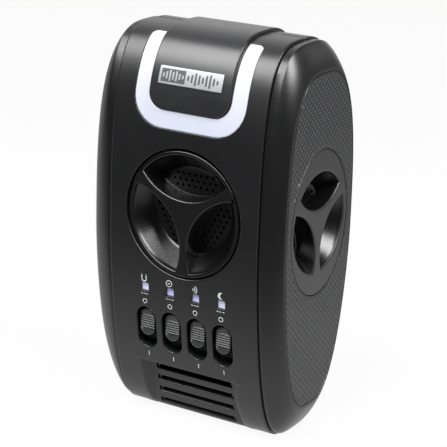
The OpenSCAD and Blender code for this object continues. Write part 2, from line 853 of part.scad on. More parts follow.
// From each blade's inner end down to the lower half of the power board's back
module mains_leads() {
    y_blade = plug_flange_y - blade_in;
    y_board = power_board_y + board_t;
    color("#7c1f1f") placed() for (side = [-1, 1])
        lead([
            [side * blade_pitch / 2, y_blade - 0.1, 0],
            [side * blade_pitch / 2, y_blade - 1.2, 0],
            [side * 7, y_blade - 1.4, -5],
            [side * 7.6, y_blade - 1.4, -12],
            [side * 8, y_blade - 1.5, -17],
            [side * 8, y_board + 1.2, -20.5],
            [side * 8, y_board + 0.1, -20.5]
        ], 1.4);
}

// Three leads from the power board round to the back of the main board
module board_leads() {
    y_board = main_board_y + board_t;
    color("#2c5aa0") placed() for (i = [0 : 2])
        lead([
            [5 + 2.2 * i, power_board_y - 0.1, -31],
            [5 + 2.2 * i, power_board_y - 3, -31.2],
            [5 + 2.2 * i, 4, -33],
            [5 + 2.2 * i, -4, -35.5],
            [5 + 2.2 * i, y_board + 4, -37],
            [5 + 2.2 * i, y_board + 0.1, -37]
        ], 1.3);
}

// A lead from each transducer down to the top of the main board
module transducer_leads() {
    y_board = main_board_y + board_t;
    back = pocket_d + floor_t + transducer_gap + transducer_h + 1.6;
    front_back = grille_y + back;
    side_back = side_x - back;
    color("#303236") placed() {
        lead([
            [0, front_back, front_grille_z - 8.8],
            [0, front_back + 1.4, front_grille_z - 8.8],
            [0, front_back + 2, front_grille_z - 14],
            [0, y_board + 4, -18],
            [0, y_board + 2, -23],
            [0, y_board + 0.1, -23]
        ], 1.3);
        for (side = [-1, 1])
            lead([
                [side * side_back, -3, side_plate_z - 8.8],
                [side * (side_back - 1.4), -3, side_plate_z - 8.8],
                [side * (side_back - 1.6), -4, side_plate_z - 16],
                [side * 20, y_board + 5, -20],
                [side * 19, y_board + 2.5, -27],
                [side * 19, y_board + 0.1, -27]
            ], 1.3);
    }
}

module screw(r, length, head_r, head_h) {
    rod_y(r, -length, 0);
    difference() {
        rod_y(head_r, 0, head_h);
        for (a = [0, 90])
            translate([0, head_h, 0]) rotate([0, a, 0])
                cube([head_r * 1.3, head_h, 0.6], center = true);
    }
}

module case_screws() {
    color("#9a9ca0") placed() for (x = [-screw_x, screw_x], z = screw_z)
        translate([x, screw_head_y + glue_gap, z]) screw(case_screw_r - thread_gap, screw_l, 2.6, 1.8);
}

module main_board_screws() {
    color("#9a9ca0") placed() for (x = [-board_post_x, board_post_x], z = board_post_z)
        translate([x, main_board_y + board_t + glue_gap, z]) screw(board_screw_r - thread_gap, 5.5, 2, 1.2);
}

module power_board_screws() {
    color("#9a9ca0") placed() for (x = [-power_post_x, power_post_x], z = [-power_post_z, power_post_z])
        translate([x, power_board_y - glue_gap, z]) rotate([180, 0, 0]) screw(board_screw_r - thread_gap, 5.5, 2, 1.2);
}

front_cover();
rear_cover();
side_cap_left();
side_cap_right();
brow_panel();
nameplate();
night_light_strip();
front_grille();
side_grille_left();
side_grille_right();
indicator_lens_1();
indicator_lens_2();
indicator_lens_3();
indicator_lens_4();
switch_knob_1();
switch_knob_2();
switch_knob_3();
switch_knob_4();
switch_slider_1();
switch_slider_2();
switch_slider_3();
switch_slider_4();
switch_body_1();
switch_body_2();
switch_body_3();
switch_body_4();
main_board();
indicator_leds();
night_light_board();
night_light_leds();
front_transducer();
side_transducer_left();
side_transducer_right();
power_board();
transformer_core();
transformer_winding();
smoothing_capacitor();
bridge_rectifier();
fuse();
field_coil_core();
field_coil_winding();
ion_module();
ion_brush();
plug_base();
plug_blade_left();
plug_blade_right();
mains_leads();
board_leads();
transducer_leads();
case_screws();
main_board_screws();
power_board_screws();
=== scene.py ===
import json
import math

import bmesh
import bpy
import numpy as np
from mathutils import Matrix, Vector


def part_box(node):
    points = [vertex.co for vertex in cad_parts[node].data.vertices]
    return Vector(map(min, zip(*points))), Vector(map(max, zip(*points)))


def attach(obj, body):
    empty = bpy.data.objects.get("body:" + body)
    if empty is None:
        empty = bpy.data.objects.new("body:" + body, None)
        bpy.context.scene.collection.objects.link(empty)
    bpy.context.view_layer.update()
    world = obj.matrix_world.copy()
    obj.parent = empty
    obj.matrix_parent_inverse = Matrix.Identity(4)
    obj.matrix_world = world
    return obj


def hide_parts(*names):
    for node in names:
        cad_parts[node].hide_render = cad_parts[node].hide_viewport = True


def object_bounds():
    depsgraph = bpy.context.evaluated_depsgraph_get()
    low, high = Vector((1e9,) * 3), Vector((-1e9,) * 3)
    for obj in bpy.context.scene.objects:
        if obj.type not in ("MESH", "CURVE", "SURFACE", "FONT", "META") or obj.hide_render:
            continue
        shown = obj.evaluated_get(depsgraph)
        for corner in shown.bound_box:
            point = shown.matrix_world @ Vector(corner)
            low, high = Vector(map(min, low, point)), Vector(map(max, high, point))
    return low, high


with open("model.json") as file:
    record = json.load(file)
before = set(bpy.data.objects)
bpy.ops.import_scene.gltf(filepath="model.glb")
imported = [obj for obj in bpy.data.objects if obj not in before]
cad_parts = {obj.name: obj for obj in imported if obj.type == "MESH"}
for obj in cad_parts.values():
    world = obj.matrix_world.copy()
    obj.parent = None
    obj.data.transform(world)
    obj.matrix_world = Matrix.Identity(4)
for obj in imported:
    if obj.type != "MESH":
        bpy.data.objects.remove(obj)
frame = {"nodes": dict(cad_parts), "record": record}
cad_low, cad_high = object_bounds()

# A plug-in ultrasonic pest repeller. Shapes are worked out in millimetres around the middle of
# the case: x to the right, y towards the wall with 0 at the parting line, z up.
MM = 0.001
FRONT_DEPTH = 28.7                  # parting line to the foremost point
REAR_DEPTH = 26.6                   # parting line to the back
MID_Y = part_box("front_cover")[0].y / MM + FRONT_DEPTH
TO_FRAME = Matrix.Scale(MM, 4) @ Matrix.Translation((0, MID_Y, 0))


def node_box(node):
    """A CAD node's lowest and highest corner, in millimetres around the middle of the case."""
    low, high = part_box(node)
    shift = Vector((0, MID_Y, 0))
    return low / MM - shift, high / MM - shift


def node_middle(node):
    low, high = node_box(node)
    return (low + high) / 2


HALF_H = node_box("front_cover")[1].z
HALF_BAND = node_box("front_cover")[1].x
SIDE_X = node_box("side_cap_right")[1].x
WALL = 2.2
SIDES = (-1, 1)                      # left and right
CASE_SQUARES = (3.6, 2.75, 3.05, 1.45)  # squareness of the outline's front, rear, top and bottom
FINE = 1500                          # points on each quarter of the case's outline


# -------- outlines and the case's skin

def quarter(count):
    """Angles over a quarter turn, closer together at its ends, where the outlines run straight."""
    u = np.arange(count) / count
    return 90 * u * u * (3 - 2 * u)


def squared_loop(front, rear, half_h, squares, angles):
    """Closed outline in (y, z) whose four quarters have their own squareness."""
    front_n, rear_n, top_n, bottom_n = squares
    c, s = np.cos(np.radians(angles)), np.sin(np.radians(angles))
    y = np.where(c < 0, front * np.abs(c) ** (2 / front_n), rear * np.abs(c) ** (2 / rear_n))
    z = np.where(s > 0, np.abs(s) ** (2 / top_n), np.abs(s) ** (2 / bottom_n))
    return np.stack([np.sign(c) * y, half_h * np.sign(s) * z], axis=1)


class Skin:
    """The case's outline by the distance s along it: 0 in the middle of the front, growing
    upwards over the top and down the back, and below 0 from the front down to the bottom."""

    def __init__(self):
        fine = quarter(FINE)
        angles = np.concatenate([270 - a for a in (fine, fine + 90, fine + 180, fine + 270)] + [[-90.0]])
        self.line = squared_loop(FRONT_DEPTH, REAR_DEPTH, HALF_H, CASE_SQUARES, angles)
        steps = np.linalg.norm(np.diff(self.line, axis=0), axis=1)
        self.s = np.concatenate([[0], np.cumsum(steps)])
        self.s -= self.s[FINE]
        # quarter() spaces the points evenly enough for differences to hold
        run = np.gradient(self.line, axis=0)
        run /= np.linalg.norm(run, axis=1)[:, None]
        self.out = np.stack([-run[:, 1], run[:, 0]], axis=1)
        self.top = self.s[2 * FINE]
        self.low_end, self.high_end = self.s[0], self.s[-1]

    def point(self, x, s, depth):
        """The point at s, sunk by depth below the surface."""
        y, z = (np.interp(s, self.s, self.line[:, k]) for k in (0, 1))
        out_y, out_z = (np.interp(s, self.s, self.out[:, k]) for k in (0, 1))
        size = math.hypot(out_y, out_z)
        return Vector((x, y - depth * out_y / size, z - depth * out_z / size))

    def at_z(self, z):
        """s on the front at height z."""
        return float(np.interp(z, self.line[:2 * FINE + 1, 1], self.s[:2 * FINE + 1]))

    def over_top(self, y):
        """s over the top at depth y."""
        return float(np.interp(y, self.line[FINE:3 * FINE + 1, 0], self.s[FINE:3 * FINE + 1]))

    def behind(self, z):
        """s on the back at height z."""
        return float(np.interp(-z, -self.line[2 * FINE:, 1], self.s[2 * FINE:]))

    def slices(self, low, high, turn=2.5, widest=3.0):
        """Cuts across a sheet from low to high, so close that no strip turns more than turn."""
        lean = np.degrees(np.unwrap(np.arctan2(self.out[:, 1], self.out[:, 0])))
        cuts, last_s, last_lean = [], low, np.interp(low, self.s, lean)
        for s, a in zip(self.s, lean):
            if low < s < high and (abs(a - last_lean) > turn or s - last_s > widest):
                cuts.append(float(s))
                last_s, last_lean = s, a
        return cuts


skin = Skin()


# -------- making shapes

def ring(bm, points):
    """A closed loop of edges through points."""
    verts = [bm.verts.new(p) for p in points]
    return [bm.edges.new((verts[i - 1], v)) for i, v in enumerate(verts)]


def loft(bm, rings):
    """Draws the first ring of points out through the others, point by point, and returns the
    first and last loop's edges."""
    first = edges = ring(bm, rings[0])
    verts = [e.verts[1] for e in edges]
    for points in rings[1:]:
        made = bmesh.ops.extrude_edge_only(bm, edges=edges)["geom"]
        drawn = {g for g in made if isinstance(g, bmesh.types.BMVert)}
        verts = [next(w for w in (e.other_vert(v) for e in v.link_edges) if w in drawn) for v in verts]
        for v, place in zip(verts, points):
            v.co = place
        edges = [bm.edges.get((verts[i - 1], v)) for i, v in enumerate(verts)]
    return first, edges


def fill(bm, edges):
    """Fills flat between an outer loop and the loops of its holes, in triangles."""
    bmesh.ops.triangle_fill(bm, edges=edges, use_beauty=True, use_dissolve=False)


def rounded(corners, steps=6):
    """Points of a polygon whose corners (x, y, radius) are rounded."""
    points = []
    for i, (x, y, r) in enumerate(corners):
        here = Vector((x, y))
        back = (Vector(corners[i - 1][:2]) - here).normalized()
        on = (Vector(corners[(i + 1) % len(corners)][:2]) - here).normalized()
        half = back.angle(on) / 2
        middle = here + (back + on).normalized() * r / math.sin(half)
        start = here + back * r / math.tan(half) - middle
        end = here + on * r / math.tan(half) - middle
        sweep = start.angle_signed(end)
        for k in range(steps + 1):
            arm = start.copy()
            arm.rotate(Matrix.Rotation(-sweep * k / steps, 2))
            points.append(tuple(middle + arm))
    return points


def box_outline(x, y, half_w, half_h, r, steps=6):
    """A rounded rectangle around (x, y) that can be grown."""
    def grown(g=0.0):
        w, h = half_w + g, half_h + g
        return rounded([(x - w, y - h, r + g), (x + w, y - h, r + g),
                        (x + w, y + h, r + g), (x - w, y + h, r + g)], steps)
    return grown


def circle_outline(x, y, r, count=48):
    def grown(g=0.0):
        turn = 2 * math.pi / count
        return [(x + (r + g) * math.cos(turn * k), y + (r + g) * math.sin(turn * k))
                for k in range(count)]
    return grown


EDGE_FLAT = 0.3                      # the narrow flat beside a rounded edge


def edge_steps(r, count=3):
    """Growth and depth down a rounded edge, from the narrow flat beside it."""
    turns = [math.pi / 2 * k / count for k in range(count + 1)]
    return [(r + EDGE_FLAT, 0.0)] + [(r * (1 - math.sin(a)), r * (1 - math.cos(a))) for a in turns]


def plate(outer, openings=(), thick=WALL, edge=0.3, top=0.0, steps=3):
    """A closed plate in (x, s, height) with rounded front edges, its face at height top.
    outer is an outline that can be grown, and openings are pairs of outline and edge radius."""
    bm = bmesh.new()
    face_edges, back_edges = [], []
    for outline, way, r in [(outer, -1, edge)] + [(o, 1, r) for o, r in openings]:
        rings = [[(x, s, top - down) for x, s in outline(way * grow)]
                 for grow, down in edge_steps(r, steps)]
        rings.append([(x, s, top - thick) for x, s in outline(0.0)])
        first, last = loft(bm, rings)
        face_edges += first
        back_edges += last
    fill(bm, face_edges)
    fill(bm, back_edges)
    return bm


def add_to(bm, part):
    """Adds part's mesh to bm."""
    mesh = bpy.data.meshes.new("part")
    part.to_mesh(mesh)
    part.free()
    bm.from_mesh(mesh)
    bpy.data.meshes.remove(mesh)


def plate_sharp(outline, holes, thick, top):
    """A thin closed plate with square edges."""
    bm = bmesh.new()
    face_edges, back_edges = [], []
    for loop in [outline] + list(holes):
        first, last = loft(bm, [[(x, s, top) for x, s in loop], [(x, s, top - thick) for x, s in loop]])
        face_edges += first
        back_edges += last
    fill(bm, face_edges)
    fill(bm, back_edges)
    return bm


def cut(bm, across, places, only=None):
    """Slices the mesh at each place along the direction across, where only(face) holds."""
    for place in places:
        faces = [f for f in bm.faces if only(f)] if only else bm.faces[:]
        edges = list(dict.fromkeys(e for f in faces for e in f.edges))
        verts = list(dict.fromkeys(v for f in faces for v in f.verts))
        bmesh.ops.bisect_plane(bm, geom=verts + edges + faces, dist=1e-5,
                               plane_co=Vector(across) * place, plane_no=across)


def move_all(bm, where):
    """Moves each vertex to where(its three coordinates)."""
    for v in bm.verts:
        v.co = where(*v.co)


def bend(bm, sink=lambda x, s: 0.0):
    """Lays a sheet in (x, s, height) on the case's skin, sunk by sink(x, s)."""
    move_all(bm, lambda x, s, height: skin.point(x, s, sink(x, s) - height))


def on_skin(bm, turn=2.5, widest=3.0):
    """Slices a sheet finely enough for the case's curve and lays it on."""
    places = [v.co.y for v in bm.verts]
    cut(bm, (0, 1, 0), skin.slices(min(places), max(places), turn, widest))
    bend(bm)


def make_piece(name, bm, finish, body="case", stands_for=(), crease=32):
    """Turns a mesh in millimetres into a finished object that rides on a body."""
    bmesh.ops.remove_doubles(bm, verts=bm.verts, dist=2e-4)
    bmesh.ops.recalc_face_normals(bm, faces=bm.faces)
    bmesh.ops.transform(bm, matrix=TO_FRAME, verts=bm.verts)
    mesh = bpy.data.meshes.new(name)
    bm.to_mesh(mesh)
    bm.free()
    mesh.shade_smooth()
    mesh.set_sharp_from_angle(angle=math.radians(crease))
    mesh.materials.append(finish)
    piece = bpy.data.objects.new(name, mesh)
    bpy.context.scene.collection.objects.link(piece)
    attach(piece, body)
    if stands_for:
        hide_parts(*stands_for)
    return piece


def finish_where(piece, finish, holds):
    """Gives another finish to the faces whose middle, in millimetres, passes holds."""
    piece.data.materials.append(finish)
    around_case = TO_FRAME.inverted()
    for face in piece.data.polygons:
        if holds(around_case @ face.center):
            face.material_index = 1


# -------- finishes

class Value:
    """A node's output. Sums on it add Math nodes."""

    def __init__(self, nodes, socket):
        self.nodes, self.socket = nodes, socket

    def math(self, operation, *values):
        return self.nodes.add("ShaderNodeMath", {"operation": operation}, dict(enumerate(values)))

    def __add__(self, other):
        return self.math("ADD", self, other)

    __radd__ = __add__

    def __mul__(self, other):
        return self.math("MULTIPLY", self, other)

    __rmul__ = __mul__

    def __sub__(self, other):
        return self.math("SUBTRACT", self, other)

    def __rsub__(self, other):
        return self.math("SUBTRACT", other, self)

    def magnitude(self):
        return self.math("ABSOLUTE", self)

    def clamp(self, low, high):
        """0 at low and 1 at high, straight between them."""
        return self.nodes.add("ShaderNodeMapRange", {"clamp": True},
                               {"Value": self, "From Min": low, "From Max": high})


class Nodes:
    """The nodes of a material or of the surroundings."""

    def __init__(self, tree):
        self.tree = tree

    def add(self, kind, settings, sockets, output=0):
        """Adds a node, sets it up, joins its sockets, and returns one of its outputs."""
        node = self.tree.nodes.new(kind)
        for key, value in settings.items():
            setattr(node, key, value)
        for key, value in sockets.items():
            if isinstance(value, Value):
                self.tree.links.new(value.socket, node.inputs[key])
            else:
                node.inputs[key].default_value = value
        return Value(self, node.outputs[output])

    def mix(self, amount, one, other):
        """A colour between one and other. A Mix node's colour sockets come after its number ones."""
        return self.add("ShaderNodeMix", {"data_type": "RGBA"}, {0: amount, 6: one, 7: other}, 2)

    def axis(self, name, where):
        return self.add("ShaderNodeSeparateXYZ", {}, {"Vector": where}, name)


class Finish(Nodes):
    """A material with one Principled shader."""

    def __init__(self, name, **constants):
        self.material = bpy.data.materials.new(name)
        self.material.use_nodes = True
        super().__init__(self.material.node_tree)
        self.shader = self.tree.nodes["Principled BSDF"]
        for socket, value in constants.items():
            self.shader.inputs[socket.replace("_", " ")].default_value = value
        self.place = self.add("ShaderNodeTexCoord", {}, {}, "Object")

    def feed(self, socket, value):
        self.tree.links.new(value.socket, self.shader.inputs[socket])

    def along(self, name):
        """The place along an axis, in metres."""
        return self.axis(name, self.place)

    def noise(self, size, detail=2.0, roughness=0.5, stretch=None):
        """Noise whose grains are about size millimetres, from 0 to 1."""
        where = self.place
        if stretch:
            where = self.add("ShaderNodeMapping", {}, {"Vector": where, "Scale": stretch})
        return self.add("ShaderNodeTexNoise", {}, {
            "Vector": where, "Scale": 1 / (size * MM), "Detail": detail, "Roughness": roughness})

    def bump(self, height, depth):
        """Feeds a relief of depth millimetres to the shader."""
        self.feed("Normal", self.add("ShaderNodeBump", {}, {
            "Height": height, "Strength": 1.0, "Distance": depth * MM}))


def shade(colour, factor=1.0):
    return tuple(min(1.0, c * factor) for c in colour) + (1.0,)


def moulded(name, colour, rough, grain=0.28, relief=0.012, spread=0.06, **constants):
    """Spark-textured moulding: a fine even grain, and slow changes of sheen from the mould."""
    f = Finish(name, **constants)
    fine = f.noise(grain, 3.0, 0.6)
    slow = f.noise(14.0, 2.0)
    smear = f.noise(5.0, 4.0, 0.65)
    f.feed("Base Color", f.mix(slow * 0.6 + fine * 0.4, shade(colour, 0.82), shade(colour, 1.22)))
    f.feed("Roughness", rough + (slow - 0.5) * spread + (smear - 0.5) * spread + (fine - 0.5) * 0.08)
    f.bump(fine, relief)
    return f.material


case_plastic = moulded("case plastic", (0.0040, 0.0041, 0.0046), 0.36)
cap_plastic = moulded("cap plastic", (0.0030, 0.0031, 0.0035), 0.33)
brow_plastic = moulded("brow plastic", (0.0080, 0.0082, 0.0090), 0.33, grain=0.2, relief=0.008)
grille_plastic = moulded("grille plastic", (0.0024, 0.0025, 0.0028), 0.31, grain=0.22, relief=0.008)
pocket_plastic = moulded("pocket plastic", (0.0016, 0.0017, 0.0019), 0.27, relief=0.004)
# painted shade: a darker, barely reflecting finish for the walls inside the louvre slots, where shade falls
louvre_painted_shade = moulded("louvre painted shade", (0.0012, 0.0012, 0.0014), 0.6, Specular_IOR_Level=0.12)
side_grille_plastic = moulded("side grille plastic", (0.0090, 0.0093, 0.0100), 0.44, relief=0.01)
knob_plastic = moulded("knob plastic", (0.020, 0.0204, 0.0215), 0.34, grain=0.2, relief=0.008)
plug_plastic = moulded("plug plastic", (0.012, 0.012, 0.013), 0.45)
switch_plastic = moulded("switch plastic", (0.008, 0.008, 0.009), 0.55)
epoxy_black = moulded("black epoxy", (0.008, 0.008, 0.009), 0.5, relief=0.006)


def textured_panel():
    """The flat sides: the diamonds' peaks are painted lighter than the grooves between them, a painted
    highlight on the peaks and painted shade in the grooves.
    """
    f = Finish("side panel plastic")
    fine, slow = f.noise(0.3, 3.0, 0.6), f.noise(14.0, 2.0)
    # painted light: a painted highlight on the diamonds' peaks and painted shade in the grooves between them
    painted_peak_light = f.along("X").magnitude().clamp((SIDE_X + 0.12) * MM, (SIDE_X + 0.28) * MM)
    painted_relief_shading = f.mix(painted_peak_light, (0.0070, 0.0073, 0.0080, 1), (0.078, 0.080, 0.085, 1))
    f.feed("Base Color", f.mix(fine * 0.3, painted_relief_shading, (0.013, 0.0135, 0.0145, 1)))
    f.feed("Roughness", 0.48 + (slow - 0.5) * 0.08 + (fine - 0.5) * 0.08)
    f.bump(fine, 0.008)
    return f.material


panel_plastic = textured_panel()


def lit_diffuser():
    """Milky polycarbonate lit from behind: white at the top of its arms, cooler at the bar."""
    f = Finish("light diffuser", Roughness=0.3, IOR=1.55, Emission_Strength=0.78)
    height = f.along("Z").clamp(0.036, 0.072)
    cloud = f.noise(9.0, 2.0)
    glow = f.mix(height, (0.60, 0.66, 0.82, 1), (1.0, 1.0, 1.0, 1))
    glow = f.mix(cloud * 0.10, glow, (0.70, 0.74, 0.93, 1))
    f.feed("Base Color", f.mix(cloud, (0.10, 0.10, 0.12, 1), (0.13, 0.13, 0.15, 1)))
    f.feed("Emission Color", glow)
    f.bump(f.noise(0.5, 2.0), 0.004)
    return f.material


light_diffuser = lit_diffuser()


def brushed(name, colour, rough, along=(0.05, 1.0, 1.0), relief=0.003, **constants):
    """Brushed metal: long fine scratches along one direction and a slow change of sheen."""
    f = Finish(name, Metallic=1.0, **constants)
    lines = f.noise(0.12, 3.0, 0.7, stretch=along)
    slow = f.noise(6.0, 2.0)
    f.feed("Base Color", f.mix(lines, shade(colour, 0.85), shade(colour, 1.12)))
    f.feed("Roughness", rough + (lines - 0.5) * 0.14 + (slow - 0.5) * 0.08)
    f.bump(lines, relief)
    return f.material


nameplate_metal = brushed("nameplate foil", (0.31, 0.315, 0.32), 0.5)
blade_metal = brushed("nickel-plated blade", (0.70, 0.69, 0.67), 0.24, along=(1.0, 0.06, 1.0))
screw_steel = brushed("screw steel", (0.46, 0.47, 0.49), 0.34, along=(1.0, 1.0, 1.0))
transducer_metal = brushed("transducer can", (0.26, 0.23, 0.17), 0.45, along=(1.0, 1.0, 1.0))


def ink(name, colour):
    """Screen-printed ink, a little uneven."""
    f = Finish(name, Roughness=0.55)
    grain = f.noise(0.18, 3.0, 0.65)
    f.feed("Base Color", f.mix(grain, shade(colour, 0.82), shade(colour, 1.06)))
    f.bump(grain, 0.004)
    return f.material


white_ink = ink("white print", (0.46, 0.47, 0.49))
dark_ink = ink("dark print", (0.035, 0.036, 0.040))


def light_pipe():
    """Pale violet light pipe with a faint glow from its LED, stronger in the outer two."""
    f = Finish("indicator lens", Roughness=0.22, IOR=1.5, Emission_Strength=0.38)
    cloud = f.noise(1.2, 2.0)
    outer = f.along("X").magnitude().clamp(0.008, 0.014)
    f.feed("Base Color", f.mix(cloud, (0.30, 0.30, 0.46, 1), (0.46, 0.45, 0.64, 1)))
    f.feed("Emission Color", f.mix(outer, (0.34, 0.36, 0.58, 1), (0.80, 0.82, 1.0, 1)))
    f.bump(cloud, 0.01)
    return f.material


indicator_finish = light_pipe()


def board(name, colour, track):
    """Solder resist over copper tracks, with a weave under it."""
    f = Finish(name, Roughness=0.35)
    cells = f.add("ShaderNodeTexBrick", {}, {
        "Vector": f.place, "Scale": 1.0, "Mortar Size": 0.0004, "Brick Width": 0.006,
        "Row Height": 0.003, "Color1": (0, 0, 0, 1), "Color2": (0, 0, 0, 1), "Mortar": (1, 1, 1, 1)})
    f.feed("Base Color", f.mix(cells, shade(colour), shade(track)))
    f.bump(f.noise(0.6, 2.0), 0.01)
    return f.material


def wound(name, colour):
    """Turns of enamelled wire, lying across X, with painted shade between the turns."""
    f = Finish(name, Metallic=0.9, Roughness=0.35)
    turns = f.add("ShaderNodeTexWave", {"bands_direction": "X"}, {
        "Vector": f.place, "Scale": 1 / (2.4 * MM), "Distortion": 0.4})
    # painted shade: the colour darkens in the grooves between the turns of wire
    f.feed("Base Color", f.mix(turns, shade(colour, 0.35), shade(colour, 1.1)))
    f.bump(turns, 0.12)
    return f.material


def speckled(name, colour, rough, grain=0.5, **constants):
    """Plain matter with a visible grain, for inner components."""
    f = Finish(name, **constants)
    spots = f.noise(grain, 3.0, 0.6)
    f.feed("Base Color", f.mix(spots, shade(colour, 0.75), shade(colour, 1.2)))
    f.feed("Roughness", rough + (spots - 0.5) * 0.15)
    f.bump(spots, 0.02)
    return f.material


circuit_board = board("circuit board", (0.006, 0.022, 0.012), (0.010, 0.036, 0.018))
light_board = board("light board", (0.62, 0.62, 0.60), (0.72, 0.72, 0.70))
ferrite = speckled("ferrite", (0.05, 0.05, 0.055), 0.7)
copper_wire = wound("copper winding", (0.72, 0.34, 0.14))
capacitor_sleeve = speckled("capacitor sleeve", (0.03, 0.06, 0.16), 0.3, 2.0)
fuse_body = speckled("fuse ceramic", (0.62, 0.58, 0.46), 0.35)
potting = speckled("ion module potting", (0.02, 0.02, 0.022), 0.5)
led_body = speckled("led body", (0.80, 0.76, 0.58), 0.3, 0.8)
lead_red = speckled("red lead", (0.30, 0.02, 0.02), 0.4)
lead_blue = speckled("blue lead", (0.03, 0.10, 0.38), 0.4)
lead_black = speckled("black lead", (0.02, 0.02, 0.022), 0.4)


# -------- the case's two covers

PART_GAP = 0.15                      # half the open width of the parting line
COVER_CORNER, COVER_EDGE = 0.9, 0.5
GRILLE_R = 24.3
GRILLE_Z = node_middle("front_grille").z
STRIP_HALF, STRIP_Z = node_box("night_light_strip")[1].x, node_box("night_light_strip")[0].z
STRIP_ARM, STRIP_BAR, STRIP_END_Y = 6.0, 6.1, -13.5
STRIP_GAP = 0.15
SWITCHES = (1, 2, 3, 4)
SLOT_HALF_W, SLOT_LOW, SLOT_HIGH = 4.25, -45.2, -28.4
WINDOW_HALF_W, WINDOW_HALF_H, WINDOW_CORNER = 1.8, 1.7, 0.35
VENT_HALF, VENT_TOP = 20.6, -51.6
VENT_WALL_SLOPE, VENT_TOP_SLOPE = 1.3, 5.0
VENT_FLOOR_TOP, VENT_FLOOR_LOW = (-18.4, -52.4), (-13.2, -72.6)
LOUVRE_HALF, LOUVRE_H = 16.8, 2.2
LOUVRE_Z = (-54.9, -60.0, -65.2, -70.3)
RIB_X, RIB_HALF_W, RIB_T, RIB_SUNK = 16.1, 0.3, 1.2, 0.8
SCREW_X, SCREW_Z, SCREW_WELL_R = 23.4, (34, -62), 2.9
PLUG_HALF_W, PLUG_HALF_H, PLUG_GAP = 16, 12, 0.15
FULL_ROUND = 0.01                    # how much a fully rounded end's radius stays under its half width


def soft_over(value, size):
    """The value where it is above 0 and 0 below, with the corner rounded over size."""
    return (value + math.sqrt(value * value + size * size)) / 2


def soft_least(one, other, size):
    return one - soft_over(one - other, size)


def vent_floor(s):
    """Depth from the skin at s down to the flat floor of the vent recess."""
    top_y, top_z = VENT_FLOOR_TOP
    low_y, low_z = VENT_FLOOR_LOW
    flat = Vector((low_z - top_z, -(low_y - top_y))).normalized()
    here = skin.point(0, s, 0)
    into = skin.point(0, s, -1) - here
    gap = (here.y - top_y) * flat.x + (here.z - top_z) * flat.y
    slope = into.y * flat.x + into.z * flat.y
    return gap / slope


VENT_TOP_S = skin.at_z(VENT_TOP)


def vent_sink(x, s):
    """How deep the vent recess is at (x, s)."""
    if s > VENT_TOP_S + 2 or s < skin.low_end + 0.5 or abs(x) > VENT_HALF + 3:
        return 0.0
    side = soft_over((VENT_HALF - abs(x)) * VENT_WALL_SLOPE, 0.35)
    top = soft_over((VENT_TOP_S - s) * VENT_TOP_SLOPE, 0.5)
    floor = soft_over(vent_floor(s), 0.3)
    return soft_least(soft_least(floor, side, 0.3), top, 0.3)


def louvre_s(z):
    """s of the point on the recess's floor at height z."""
    tries = np.linspace(skin.at_z(-73.5), VENT_TOP_S - 0.6, 300)
    heights = [skin.point(0, s, vent_sink(0, s)).z for s in tries]
    return float(np.interp(z, heights, tries))


def grille_opening(g=0.0):
    """A round opening seen from the front."""
    return [(x, skin.at_z(z)) for x, z in circle_outline(0, GRILLE_Z, GRILLE_R, 96)(g)]


def strip_outline(gap):
    """The U of the light strip, or of its channel when gap is above 0."""
    def grown(g=0.0):
        g = g + gap
        top, low = skin.over_top(STRIP_END_Y) + g, skin.at_z(STRIP_Z) - g
        bar_top = skin.at_z(STRIP_Z + STRIP_BAR) + g
        out, inn = STRIP_HALF + g, STRIP_HALF - STRIP_ARM - g
        end_r, tip_r, out_r, in_r = 2.4 + g, 0.8 + g, 12 + g, 7 - g
        return rounded([(-out, top, end_r), (-out, low, out_r), (out, low, out_r), (out, top, end_r),
                        (inn, top, tip_r), (inn, bar_top, in_r), (-inn, bar_top, in_r),
                        (-inn, top, tip_r)], 8)
    return grown


def span_outline(x, half_w, low_s, high_s, r, steps=6):
    """A rounded rectangle from low_s to high_s."""
    return box_outline(x, (low_s + high_s) / 2, half_w, (high_s - low_s) / 2, r, steps)


def front_outline(x, half_w, low_z, high_z, r, steps):
    """A rounded rectangle on the front, between two heights."""
    return span_outline(x, half_w, skin.at_z(low_z), skin.at_z(high_z), r, steps)


def switch_x(i):
    return node_middle(f"switch_knob_{i}").x


def cut_around_vent(bm):
    """Slices the sheet more finely where the recess's floor, top wall and side walls bend."""
    vent_low = skin.at_z(-74)
    near_vent = lambda f: vent_low < f.calc_center_median().y < VENT_TOP_S + 4
    cut(bm, (0, 1, 0), np.arange(vent_low, VENT_TOP_S - 2, 0.9), near_vent)
    cut(bm, (0, 1, 0), np.arange(VENT_TOP_S - 1.9, VENT_TOP_S + 1.2, 0.22), near_vent)
    for side in SIDES:
        cut(bm, (1, 0, 0), side * np.arange(16.95, 22.0, 0.28), near_vent)


def in_louvre(place):
    """Whether a place is inside the louvre slots, behind the recess's floor, where the slot walls get
    painted shade.
    """
    top_y, top_z = VENT_FLOOR_TOP
    low_y, low_z = VENT_FLOOR_LOW
    floor_y = top_y + (place.z - top_z) * (low_y - top_y) / (low_z - top_z)
    return abs(place.x) < VENT_HALF and low_z < place.z < top_z and place.y > floor_y + 0.45


